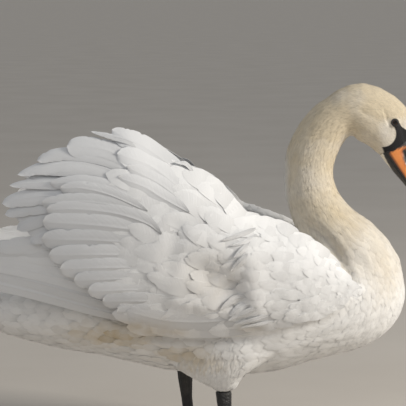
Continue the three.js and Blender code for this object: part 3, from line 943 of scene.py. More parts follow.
@dataclass
class Skin:
    """The unbroken skin of trunk, neck, head, thighs and wing arms; sizes in millimetres."""

    grow: float = 0.5
    voxel: float = 3.9
    smoothing: int = 9
    head_smoothing: int = 15
    finer_from: tuple = ((212, 418), (240, 424))
    coat_depth: float = 2.0
    face_depth: float = 0.6
    vane_depth: float = 2.2
    folds: tuple = (
        Fold((264, 488), (282, 478), 3.6, 1.3),
        Fold((281, 472), (287, 452), 4.5, -1.4),
        Fold((249, 461), (258, 453), 10.0, 1.9),
        Fold((269.5, 463), (269, 453), 2.8, 1.2),
        Fold((269, 453), (261.5, 445), 2.8, 1.1),
        Fold((255.5, 491), (259.5, 479.5), 3.2, -1.3),
        Fold((259.5, 479.5), (263.5, 469.5), 3.0, -1.1),
        Fold((249, 492), (253.5, 476), 4.5, 1.2),
        Fold((227, 497), (240, 488.5), 3.2, 1.2),
        Fold((224, 491), (235, 485), 3.2, -0.9),
        Fold((236, 452), (252, 441), 6.0, 0.9),
    )
    grooves: tuple = (
        Fold((136, 338), (156, 326), 7.0, -5.0),
        Fold((156, 326), (181, 305), 7.0, -7.0),
        Fold((181, 305), (204, 271), 6.5, -7.0),
        Fold((204, 271), (214, 246), 6.5, -5.0),
        Fold((-66, 183), (10, 179.5), 6.0, -7.0),
        Fold((10, 179.5), (60, 182), 6.0, -6.0),
        Fold((60, 182), (96, 188), 6.0, -3.0),
        Fold((-262, 246), (-151, 222), 6.0, -5.0),
        Fold((-151, 222), (-100, 203), 6.0, -6.0),
        Fold((-100, 203), (-66, 183), 6.0, -6.0),
    )

    def __post_init__(self) -> None:
        """Name the nodes that the skin stands for, and those that give it its shape."""
        self.nodes = ["trunk", "neck_lower", "neck_middle", "neck_upper", "head"]
        self.nodes += [f"{part}_{side.word}" for part in ("thigh", "wing_arm") for side in Side]
        self.shape_nodes = self.nodes + [f"eye_{side.word}" for side in Side]

    def build(self) -> None:
        """Wrap, even out and shape the skin, and dress it."""
        solids, self.owners = merged_nodes(self.shape_nodes, self.grow * MM)
        faces = [tuple(face.vertices) for face in solids.polygons]
        self.owner_tree = BVHTree.FromPolygons(mesh_points(solids).tolist(), faces)
        mesh = remeshed(solids, self.voxel * MM, "skin")
        self.refine_head(mesh)
        self.shape(mesh)
        self.thing = smooth_object("skin", mesh)
        self.unwrap()
        self.mark(mesh)
        material = Plumage("skin under plumage").material(vaned=False)
        finish_piece(self.thing, material, self.nodes)

    def refine_head(self, mesh: Mesh) -> None:
        """Give the head finer faces, and the face the finest.

        Args:
            mesh: The skin.
        """
        work = bmesh.new()
        work.from_mesh(mesh)
        for low_x, low_z in self.finer_from:
            low_x, low_z = (low_x + FRAME_SHIFT) * MM, low_z * MM
            inside = {v for v in work.verts if v.co.x > low_x and v.co.z > low_z}
            edges = [e for e in work.edges if e.verts[0] in inside and e.verts[1] in inside]
            bmesh.ops.subdivide_edges(work, edges=edges, cuts=1, use_grid_fill=True)
        work.to_mesh(mesh)
        work.free()

    def shape(self, mesh: Mesh) -> None:
        """Even out the skin, fold the face and sink the skin by the coat's depth.

        Args:
            mesh: The skin.
        """
        points = smoothed(mesh_points(mesh), edges_of(mesh), self.smoothing)
        bird = to_bird(points)
        head = smoothstep(200, 215, bird[:, 0]) * smoothstep(400, 425, bird[:, 2])
        points = smoothed(points, edges_of(mesh), self.head_smoothing, head)
        set_points(mesh, points)
        normals = mesh_normals(mesh)
        bird = to_bird(points)
        plane = bird[:, (0, 2)]
        sides = smoothstep(7, 14, np.abs(bird[:, 1]))
        lift = np.zeros(len(points))
        for fold in self.folds:
            lift += fold.lift(plane) * head * sides
        flanks = smoothstep(24, 40, np.abs(bird[:, 1]))
        for fold in self.grooves:
            lift = np.minimum(lift, fold.lift(plane) * flanks)
        lift += wing_relief(bird[:, 0], bird[:, 2]) * smoothstep(100, 115, np.abs(bird[:, 1]))
        face = smoothstep(196, 232, bird[:, 0]) * smoothstep(410, 440, bird[:, 2])
        depth = self.coat_depth + (self.face_depth - self.coat_depth) * face
        depth = depth * (1 - bare_mask(bird))
        depth += self.vane_depth * smoothstep(98, 116, np.abs(bird[:, 1]))
        set_points(mesh, self.orbit(points + normals * ((lift - depth) * MM)[:, None]))

    @staticmethod
    def orbit(points: Points) -> Points:
        """Draw the skin over each eyeball up to the lids, and sink it behind the opening.

        Args:
            points: Places in metres.

        Returns:
            The moved places.
        """
        bird = to_bird(points)
        over_ball, behind_ball, inner = 0.35, 1.5, 8
        for side in Side:
            away = np.hypot(bird[:, 0] - EYE_PLACE[0], bird[:, 2] - EYE_PLACE[1])
            out = bird[:, 1] * side.value
            ball = EYE_DEPTH + np.sqrt(np.maximum(EYE_RADIUS**2 - away**2, 0))
            near = (out > inner) & (away < EYE_RADIUS)
            over = near & (away > EYE_OPENING)
            out = np.where(over, np.maximum(out, ball + over_ball), out)
            out = np.where(near & ~over, np.minimum(out, ball - behind_ball), out)
            bird[:, 1] = np.where(near, out * side.value, bird[:, 1])
        return to_frame(bird)

    def unwrap(self) -> None:
        """Lay the skin's own map, from which the coat takes the places of its patches."""
        bpy.ops.object.select_all(action="DESELECT")
        self.thing.select_set(True)
        bpy.context.view_layer.objects.active = self.thing
        self.thing.data.uv_layers.new(name="OFBake")
        bpy.ops.object.mode_set(mode="EDIT")
        bpy.ops.mesh.select_all(action="SELECT")
        bpy.ops.uv.smart_project(angle_limit=1.15, island_margin=0.004, scale_to_bounds=True)
        bpy.ops.object.mode_set(mode="OBJECT")

    def mark(self, mesh: Mesh) -> None:
        """Keep the markings with their painted shade, and the normal that the coat stands on, at the skin's
        points.
        """
        bird = to_bird(mesh_points(mesh))
        set_values(mesh, buff=buff_tone(bird), stain=stain_tone(bird), bare=bare_mask(bird),
                   standing=mesh_normals(mesh))

    def regions(self, places: Points) -> list[str]:
        """Name the solid that each place on the skin came from.

        Args:
            places: Places in metres.

        Returns:
            The nodes' names.
        """
        found = [self.owner_tree.find_nearest(Vector(place))[2] for place in places]
        names = [self.shape_nodes[self.owners[face]] for face in found]
        return ["head" if name.startswith("eye") else name for name in names]


# ---- coat
class TuftForm(Enum):
    """Shapes of the small feathers: rows, columns, where they are widest, and their tips."""

    SLENDER = (5, 3, 0.45, 1.3)
    ROUNDED = (7, 5, 0.62, 2.2)


def tuft_mesh(form: TuftForm) -> Object:
    """Make one small feather of unit length and breadth, closed below, lying along +Y.

    Args:
        form: Its shape.

    Returns:
        An object that the coat is laid from.
    """
    rows, columns, widest, blunt = form.value
    across = np.linspace(-1, 1, columns)
    along = np.linspace(0, 1, rows)
    rising = smoothstep(-0.1, widest, along) * 0.75 + 0.25
    closing = np.clip((along - widest) / (1 - widest), 0, 1)
    half = 0.5 * rising * (1 - closing**blunt) ** (0.6 if blunt > 2 else 1.0)
    half[-1] = 0.03
    grid_a, grid_v = np.meshgrid(across, along)
    rise = 0.12 + 0.88 * grid_v**0.8 - 0.28 * grid_a**2
    top = np.stack([grid_a * half[:, None], grid_v, rise], -1)
    under = top[1:-1, 1:-1] - (0, 0, 0.22)
    upper = np.arange(rows * columns).reshape(rows, columns)
    lower = upper.copy()
    lower[1:-1, 1:-1] = rows * columns + np.arange(under[..., 0].size).reshape(under.shape[:2])
    faces = np.concatenate([quads_of(upper), quads_of(lower)[:, ::-1]])
    points = np.concatenate([top.reshape(-1, 3), under.reshape(-1, 3)])
    vane = np.stack([grid_a / 2 + 0.5, grid_v], -1)
    vane = np.concatenate([vane.reshape(-1, 2), vane[1:-1, 1:-1].reshape(-1, 2)])
    flat = points * (1, 1, 0)
    return build_mesh("tuft", flat, [faces], {"Vane": vane}, {"rise": points[:, 2]})


def quads_of(grid: Points) -> Points:
    """List the four corners of each cell of a grid of vertex indices, facing up."""
    cells = [grid[:-1, :-1], grid[:-1, 1:], grid[1:, 1:], grid[1:, :-1]]
    return np.stack([corner.reshape(-1) for corner in cells], 1)


def tuft_tree() -> NodeTree:
    """Build the geometry tree that lays tufts from their roots and presses them to the skin.

    Returns:
        The tree.
    """
    tree = bpy.data.node_groups.new("LayTufts", "GeometryNodeTree")
    tree.is_modifier = True
    sockets = (("Roots", "Geometry"), ("Skin", "Object"), ("Tuft", "Object"),
               ("Finish", "Material"), ("Patch Size", "Float"))
    for label, kind in sockets:
        tree.interface.new_socket(label, in_out="INPUT", socket_type=f"NodeSocket{kind}")
    tree.interface.new_socket("Coat", in_out="OUTPUT", socket_type="NodeSocketGeometry")
    sheet = NodeSheet(tree)
    given = sheet.add("NodeGroupInput").outputs

    def kept(name: str, kind: str = "FLOAT_VECTOR") -> NodeSocket:
        """Read a named value of the roots or of the tuft."""
        node = sheet.add("GeometryNodeInputNamedAttribute", {"Name": name}, data_type=kind)
        return node.outputs["Attribute"]

    turn = sheet.add("FunctionNodeAxesToRotation", {0: kept("standing"), 1: kept("lie")},
                     primary_axis="Z", secondary_axis="Y").outputs[0]
    size = sheet.add("ShaderNodeSeparateXYZ", {0: kept("size")}).outputs
    scale = sheet.add("ShaderNodeCombineXYZ", {0: size[0], 1: size[1], 2: size[1]}).outputs[0]
    tuft = sheet.add("GeometryNodeObjectInfo", {"Object": given["Tuft"]}).outputs["Geometry"]
    laid = sheet.add("GeometryNodeInstanceOnPoints",
                     {"Points": given["Roots"], "Instance": tuft, "Rotation": turn, "Scale": scale})
    coat = sheet.add("GeometryNodeRealizeInstances", {0: laid.outputs[0]}).outputs[0]
    skin = sheet.add("GeometryNodeObjectInfo", {"Object": given["Skin"]}).outputs["Geometry"]
    foot = sheet.add("GeometryNodeProximity", {0: skin}, target_element="FACES").outputs["Position"]
    normal = sheet.add("GeometryNodeSampleNearestSurface", {"Mesh": skin, "Value": kept("standing")},
                       data_type="FLOAT_VECTOR").outputs["Value"]
    height = sheet.maths("MULTIPLY", kept("rise", "FLOAT"), size[2])
    lift = sheet.vectors("SCALE", {0: normal, "Scale": height})
    place = sheet.vectors("ADD", {0: foot, 1: lift})
    coat = sheet.add("GeometryNodeSetPosition", {"Geometry": coat, "Position": place}).outputs[0]
    centred = sheet.vectors("ADD", {0: kept("Vane"), 1: (-0.5, -0.5, 0.0)})
    patch = sheet.vectors("SCALE", {0: centred, "Scale": given["Patch Size"]})
    spot = sheet.vectors("ADD", {0: kept("root_map"), 1: patch})
    coat = sheet.add("GeometryNodeStoreNamedAttribute",
                     {"Geometry": coat, "Name": "OFBake", "Value": spot},
                     data_type="FLOAT2", domain="CORNER").outputs[0]
    coat = sheet.add("GeometryNodeSetShadeSmooth", {0: coat}).outputs[0]
    coat = sheet.add("GeometryNodeSetMaterial", {"Geometry": coat, "Material": given["Finish"]}).outputs[0]
    sheet.add("NodeGroupOutput", {"Coat": coat})
    return tree


def apply_tree(thing: Object, tree: NodeTree, **inputs: object) -> None:
    """Run a geometry tree on an object and keep its result as a plain mesh.

    Args:
        thing: The object, whose mesh is replaced.
        tree: The tree.
        inputs: Values by input name, with spaces written as underscores.
    """
    modifier = thing.modifiers.new("tree", "NODES")
    modifier.node_group = tree
    for item in tree.interface.items_tree:
        key = item.name.replace(" ", "_")
        if item.in_out == "INPUT" and key in inputs:
            modifier[item.identifier] = inputs[key]
    graph = bpy.context.evaluated_depsgraph_get()
    result = bpy.data.meshes.new_from_object(
        thing.evaluated_get(graph), preserve_all_data_layers=True, depsgraph=graph)
    thing.modifiers.clear()
    old = thing.data
    thing.data = result
    bpy.data.meshes.remove(old)


class Lie:
    """The way that plumage lies at each place of the body."""

    blend = 13.0  # how softly one stretch of the line passes into the next, in millimetres

    def __init__(self) -> None:
        """Lay the flow's line through the body."""
        path = smooth_path(BODY_AXIS, 130)
        self.path = np.stack([path[:, 0], np.zeros(len(path)), path[:, 1]], 1)
        self.along = unit(np.gradient(self.path, axis=0))

    def at(self, places: Points, normals: Points, down: Points) -> Points:
        """Give the lie, flat against the skin.

        Args:
            places: Places in the bird's own millimetres.
            normals: The skin's normals there.
            down: One where plumage hangs down the leg, nought elsewhere.

        Returns:
            Directions of unit length.
        """
        away = np.linalg.norm(places[:, None, :] - self.path[None], axis=2)
        weight = np.exp(-((away - away.min(1, keepdims=True)) / self.blend))
        flow = weight @ self.along
        flow = unit(flow) * (1 - down[:, None]) + down[:, None] * (-0.25, 0.0, -1.0)
        flow -= normals * np.sum(flow * normals, 1, keepdims=True)
        return unit(flow)


@dataclass(frozen=True)
class CoatZone:
    """One kind of small feather over some of the solids' skin; sizes in millimetres."""

    name: str
    solids: tuple
    form: TuftForm
    spacing: Callable[[Points], Points]
    length: float
    breadth: float
    lift: float
    barbs: float
    ruffle: float
    slot: Slot
    reach: tuple = (-500.0, 500.0)


TRIES = 4.5  # places tried for each root that has room


def scatter(points: Points, triangles: Points, spacing: Points, rng: np.random.Generator
            ) -> tuple[Points, Points]:
    """Strew roots over triangles, none nearer to another than the spacing there.

    Args:
        points: Vertices, in millimetres.
        triangles: Their triangles.
        spacing: The least distance between roots, for each triangle.
        rng: The random source.

    Returns:
        For each root, its triangle and its barycentric place in it.
    """
    a, b, c = (points[triangles[:, k]] for k in range(3))
    area = np.linalg.norm(np.cross(b - a, c - a), axis=1) / 2
    crowd = area / spacing**2
    count = int(crowd.sum() * TRIES)
    chosen = rng.choice(len(triangles), count, p=crowd / crowd.sum())
    first, second = rng.random(count), rng.random(count)
    fold = first + second > 1
    first[fold], second[fold] = 1 - first[fold], 1 - second[fold]
    weights = np.stack([1 - first - second, first, second], 1)
    places = np.einsum("nk,nkj->nj", weights, points[triangles[chosen]])
    gaps = spacing[chosen]
    cell = float(gaps.max())
    boxes: dict[tuple, list[tuple]] = {}
    keys = np.floor(places / cell).astype(int)
    steps = list(product((-1, 0, 1), repeat=3))
    kept = []
    for n, ((u, v, w), (x, y, z), gap) in enumerate(zip(keys.tolist(), places.tolist(), gaps.tolist())):
        near = (root for i, j, k in steps for root in boxes.get((u + i, v + j, w + k), ()))
        if not any((x - p) ** 2 + (y - q) ** 2 + (z - r) ** 2 < gap * gap for p, q, r in near):
            boxes.setdefault((u, v, w), []).append((x, y, z))
            kept.append(n)
    return chosen[kept], weights[kept]


class Coat:
    """Small feathers over the whole skin, laid zone by zone."""

    patch = 0.003  # side of a feather's patch on the skin's map
    zones = (
        CoatZone("face feathers", ("head",), TuftForm.SLENDER,
                 lambda p: 2.0 + 0.9 * smoothstep(262, 205, p[:, 0]), 8.0, 2.7, 0.25, 6, 4, Slot.NECK),
        CoatZone("neck feathers", ("neck_upper", "neck_middle", "neck_lower"), TuftForm.SLENDER,
                 lambda p: 2.9 + 2.2 * smoothstep(400, 260, p[:, 2]), 15.0, 5.2, 0.6, 8, 6, Slot.NECK),
        CoatZone("breast feathers", ("trunk",), TuftForm.ROUNDED,
                 lambda p: 4.5 + 3.6 * smoothstep(250, 100, p[:, 0]), 25.0, 11.5, 1.0, 16, 6, Slot.WHITE,
                 (75.0, 500.0)),
        CoatZone("body feathers", ("trunk",), TuftForm.ROUNDED,
                 lambda p: 8.0 + 1.6 * smoothstep(75, 0, p[:, 0]), 30.0, 15.5, 1.2, 16, 6, Slot.WHITE,
                 (-500.0, 75.0)),
        CoatZone("thigh feathers", ("thigh_right", "thigh_left"), TuftForm.SLENDER,
                 lambda p: np.full(len(p), 3.8), 17.0, 6.0, 0.9, 8, 7, Slot.WHITE),
        CoatZone("inner wing feathers", ("wing_arm_right", "wing_arm_left"), TuftForm.ROUNDED,
                 lambda p: np.full(len(p), 8.5), 28.0, 15.0, 1.1, 14, 6, Slot.WHITE),
    )

    def __init__(self, skin: Skin) -> None:
        """Measure the skin that the coat stands on.

        Args:
            skin: The skin, built.
        """
        self.skin = skin
        mesh = skin.thing.data
        self.points = to_bird(mesh_points(mesh))
        self.normals = mesh_normals(mesh)
        self.triangles = triangles_of(mesh)
        loops = rows_of(mesh.loop_triangles, "loops", 3, np.int32)
        self.maps = rows_of(mesh.uv_layers["OFBake"].uv, "vector", 2)[loops]
        self.centres = self.points[self.triangles].mean(1)
        self.solids = np.array(skin.regions(to_frame(self.centres)))
        self.lie = Lie()
        self.tree = tuft_tree()

    def build(self) -> None:
        """Lay and dress every zone."""
        for place, zone in enumerate(self.zones):
            self.lay(zone, np.random.default_rng(COAT_SEED + place))

    def lay(self, zone: CoatZone, rng: np.random.Generator) -> None:
        """Lay one zone's feathers.

        Args:
            zone: The zone.
            rng: Its random source.
        """
        inside = np.isin(self.solids, zone.solids) & (bare_mask(self.centres) < 0.5)
        inside &= ~under_wing_vanes(self.centres, self.solids)
        inside &= (self.centres[:, 0] > zone.reach[0]) & (self.centres[:, 0] <= zone.reach[1])
        triangles, maps = self.triangles[inside], self.maps[inside]
        spacing = zone.spacing(self.centres[inside])
        chosen, weights = scatter(self.points, triangles, spacing, rng)
        corners = triangles[chosen]
        places = np.einsum("nk,nkj->nj", weights, self.points[corners])
        normals = unit(np.einsum("nk,nkj->nj", weights, self.normals[corners]))
        root_map = np.einsum("nk,nkj->nj", weights, maps[chosen])
        down = np.full(len(places), 1.0 if "thigh" in zone.solids[0] else 0.0)
        lie = self.lie.at(places, normals, down)
        sway = np.radians(zone.ruffle) * (rng.standard_normal(len(places)) + drift(places, 0.05) * 0.8)
        lie = lie * np.cos(sway)[:, None] + np.cross(normals, lie) * np.sin(sway)[:, None]
        growth = spacing[chosen] / spacing.mean() * (0.85 + 0.3 * rng.random(len(places)))
        lifts = growth * (0.75 + 0.5 * rng.random(len(places)))
        size = np.stack([zone.breadth * growth, zone.length * growth, zone.lift * lifts], 1) * MM
        self.piece(zone, places, {
            "tone": rng.random(len(places)), "buff": buff_tone(places), "stain": stain_tone(places),
            "standing": normals, "lie": lie, "size": size,
            "root_map": np.pad(root_map, ((0, 0), (0, 1)))})

    def piece(self, zone: CoatZone, places: Points, values: dict[str, Points]) -> None:
        """Turn roots into a finished piece.

        Args:
            zone: The zone they belong to.
            places: The roots, in millimetres.
            values: Numbers and vectors kept at the roots.
        """
        mesh = bpy.data.meshes.new(zone.name)
        mesh.from_pydata(to_frame(places).tolist(), [], [])
        set_values(mesh, **values)
        thing = linked(zone.name.replace(" ", "_"), mesh)
        tuft = tuft_mesh(zone.form)
        material = Plumage(zone.name, barbs=zone.barbs).material()
        apply_tree(thing, self.tree, Skin=self.skin.thing, Tuft=tuft, Finish=material,
                   Patch_Size=self.patch)
        bpy.data.objects.remove(tuft)
        finish_piece(thing, material)


def drift(places: Points, pitch: float) -> Points:
    """Vary slowly and evenly over places, between about -1 and 1.

    Args:
        places: Places in millimetres.
        pitch: How fast it varies, in radians for each millimetre.

    Returns:
        The value at each place.
    """
    x, y, z = (places * pitch).T
    return (np.sin(x + 2.1 * y) + np.sin(1.7 * z - 0.6 * x + 1.3) + np.sin(0.9 * y + 2.3 * z + 4.0)) / 3


# ---- wings
wing_half_span = profile(WING_HALF_SPAN)
wing_middle = profile(WING_MIDDLE)
wing_rise = profile(WING_RISE)
wing_drop = profile(WING_DROP)
WING_RELIEF = (Fold((-4, 286), (40, 254), 20.0, -6.5), Fold((62, 298), (72, 240), 18.0, 4.8),
               Fold((-36, 345), (-46, 290), 11.0, -3.0), Fold((-40, 246), (10, 232), 9.0, 2.0))
ARM_WHITE = (0.85, 0.855, 0.862)
# A greyer, bluer copy of the white: painted shade on the coverts and secondaries.
PAINTED_SHADE_WING_WHITE = (0.785, 0.792, 0.805)
VANED_DEPTH = 8.5  # how deep under the wing's outer surface the larger feathers stand in for tufts


def wing_relief(x: Points, z: Points) -> Points:
    """Say how far the ruffled plumage of the arm swells out or sinks in, in millimetres.

    Args:
        x: Places along the body.
        z: Heights in the side view.

    Returns:
        How far it stands out.
    """
    plane = np.stack([x, z], -1).reshape(-1, 2)
    return sum(fold.lift(plane) for fold in WING_RELIEF).reshape(x.shape)


def shell_depth(places: Points) -> Points:
    """Measure how far places lie inside the outer surface of the nearer wing.

    Args:
        places: Places in millimetres.

    Returns:
        The depth sideways, in millimetres.
    """
    x, y, z = places.T
    middle = wing_middle(x)
    reach = np.where(z > middle, wing_rise(x) * np.where(y > 0, LEFT_WING_LIFT, 1.0), wing_drop(x))
    t = np.clip(np.abs(z - middle) / reach, 0, 0.97)
    return wing_half_span(x) * (1 - t**SHELL_POWER) ** 0.5 - np.abs(y)


def under_wing_vanes(places: Points, solids: Points) -> Points:
    """Tell the outer face of the wing arms, which larger vanes cover."""
    on_arm = np.char.startswith(solids.astype(str), "wing_arm")
    return on_arm & (shell_depth(places) < VANED_DEPTH)


class ArmPlan:
    """The arm's outline in the side view: u from wrist to elbow, v from lower to upper edge."""

    def __init__(self) -> None:
        """Lay the outline's edges."""
        self.upper = smooth_path(ARM_UPPER_EDGE, 80)
        self.lower = smooth_path(ARM_LOWER_EDGE, 80)
        self.rear = smooth_path(ARM_REAR_EDGE, 80)

    def place(self, u: Points, v: Points) -> Points:
        """Give the place in the side view; past u = 1 it runs straight on.

        Args:
            u: Places along the arm.
            v: Places across it.

        Returns:
            Points (x, z) in millimetres.
        """
        u, v = np.broadcast_arrays(np.asarray(u, float), np.asarray(v, float))
        inner = self.inside(np.minimum(u, 1.0), v)
        onward = (self.inside(np.ones_like(u), v) - self.inside(np.full_like(u, 0.96), v)) / 0.04
        return inner + onward * np.maximum(u - 1.0, 0)[..., None]

    def distance(self, first: tuple, second: tuple) -> float:
        """Measure between two places, each given as u and v."""
        return float(np.linalg.norm(self.place(*first) - self.place(*second)))

    def inside(self, u: Points, v: Points) -> Points:
        """Give the place in the side view within the arm.

        Args:
            u: Places along the arm, from 0 to 1.
            v: Places across it.

        Returns:
            Points (x, z) in millimetres.
        """
        low, high = along_path(self.lower, u), along_path(self.upper, u)
        straight = self.lower[-1] + (self.upper[-1] - self.lower[-1]) * v[..., None]
        bulge = along_path(self.rear, v) - straight
        return low + (high - low) * v[..., None] + bulge * u[..., None]


class VaneForm(Enum):
    """Outlines of the larger feathers: root breadth, where they are widest, bluntness of the tip."""

    FLIGHT = (0.30, 0.78, 2.4)
    BLADE = (0.45, 0.48, 1.7)
    BROAD = (0.55, 0.74, 3.2)
    COVERT = (0.55, 0.62, 2.2)
    LOBE = (0.12, 0.66, 2.4)
    POINTED = (0.35, 0.45, 1.6)
    SOFT = (0.4, 0.55, 1.5)

    def half(self, along: Points) -> Points:
        """Give half the breadth along the vane, against half its greatest breadth.

        Args:
            along: Places from root to tip, from 0 to 1.

        Returns:
            The half breadths.
        """
        root, widest, blunt = self.value
        opening = root + (1 - root) * smoothstep(0, 0.4 * widest, along) ** 0.5
        closing = np.clip((along - widest) / (1 - widest), 0, 1)
        return opening * np.maximum(1 - closing**blunt, 0.0025) ** 0.5


@dataclass(frozen=True)
class Vane:
    """One larger feather: its shaft in the side view from root to tip, and how it lies; in millimetres.

    A tilt above nought lifts the lower edge, one below it the upper edge.
    """

    shaft: tuple
    breadth: float
    form: VaneForm = VaneForm.FLIGHT
    root_depth: float = 5.0
    tip_depth: float = 2.0
    tilt: float = 1.7
    camber: float = 2.2
    settle: float = 0.55
    fine: bool = True


FINE_COLUMNS = (-1, -0.93, -0.78, -0.55, -0.3, -0.05, 0, 0.05, 0.3, 0.55, 0.78, 0.93, 1)
COARSE_COLUMNS = (-1, -0.8, -0.4, 0, 0.4, 0.8, 1)
FINE_ROWS, COARSE_ROWS = 34, 9
VANE_THICKNESS = 0.7
RACHIS_HEIGHT = 0.45


class VaneBatch:
    """Larger feathers gathered into one mesh."""

    def __init__(self, name: str) -> None:
        """Start an empty batch."""
        self.name = name
        self.feathers: list[tuple[Points, Points, Points, float]] = []

    def add(self, top: Points, bottom: Points, across: Points, tone: float) -> None:
        """Add a feather.

        Args:
            top: Its outer face, as rows by columns of places in millimetres.
            bottom: Its inner face, in the same order.
            across: Where each column lies across the vane, from -1 to 1.
            tone: How light it is, from 0 to 1.
        """
        self.feathers.append((top, bottom, across, tone))

    def build(self) -> Object:
        """Join the feathers into one object.

        Returns:
            The object.
        """
        side = math.ceil(math.sqrt(len(self.feathers)))
        points, faces, vanes, cells, tones = [], [], [], [], []
        start = 0
        for n, (top, bottom, across, tone) in enumerate(self.feathers):
            rows, columns = top.shape[:2]
            shift = rows * columns
            upper = start + np.arange(shift).reshape(rows, columns)
            lower = upper + shift
            rim = np.concatenate([upper[:, 0], upper[-1, 1:], upper[-2::-1, -1], upper[0, -2:0:-1]])
            turned = np.roll(rim, -1)
            walls = np.stack([rim, turned, turned + shift, rim + shift], 1)
            block = np.concatenate([quads_of(upper)[:, ::-1], quads_of(lower), walls])
            i, j = rows // 2, columns // 2
            normal = np.cross(top[i + 1, j] - top[i, j], top[i, j + 1] - top[i, j])
            if normal @ (top[i, j] - bottom[i, j]) < 0:
                block = block[:, ::-1]
            faces.append(block)
            points += [top.reshape(-1, 3), bottom.reshape(-1, 3)]
            grid_u, grid_v = np.meshgrid(across / 2 + 0.5, np.linspace(0, 1, rows))
            vane = np.stack([grid_u, grid_v], -1).reshape(-1, 2)
            vanes += [vane, vane]
            # Each feather has a square of the map to itself, its outer and inner face side by side.
            corner = np.array([n % side, n // side]) / side
            inner = vane * (0.42 / side, 0.88 / side) + corner + 0.05 / side
            cells += [inner, inner + (0.48 / side, 0)]
            tones.append(np.full(2 * shift, tone))
            start += 2 * shift
        places = np.concatenate(points)
        values = {"tone": np.concatenate(tones), "buff": buff_tone(places), "stain": stain_tone(places)}
        maps = {"Vane": np.concatenate(vanes), "OFBake": np.concatenate(cells)}
        return build_mesh(self.name, to_frame(places), [np.concatenate(faces)], maps, values)


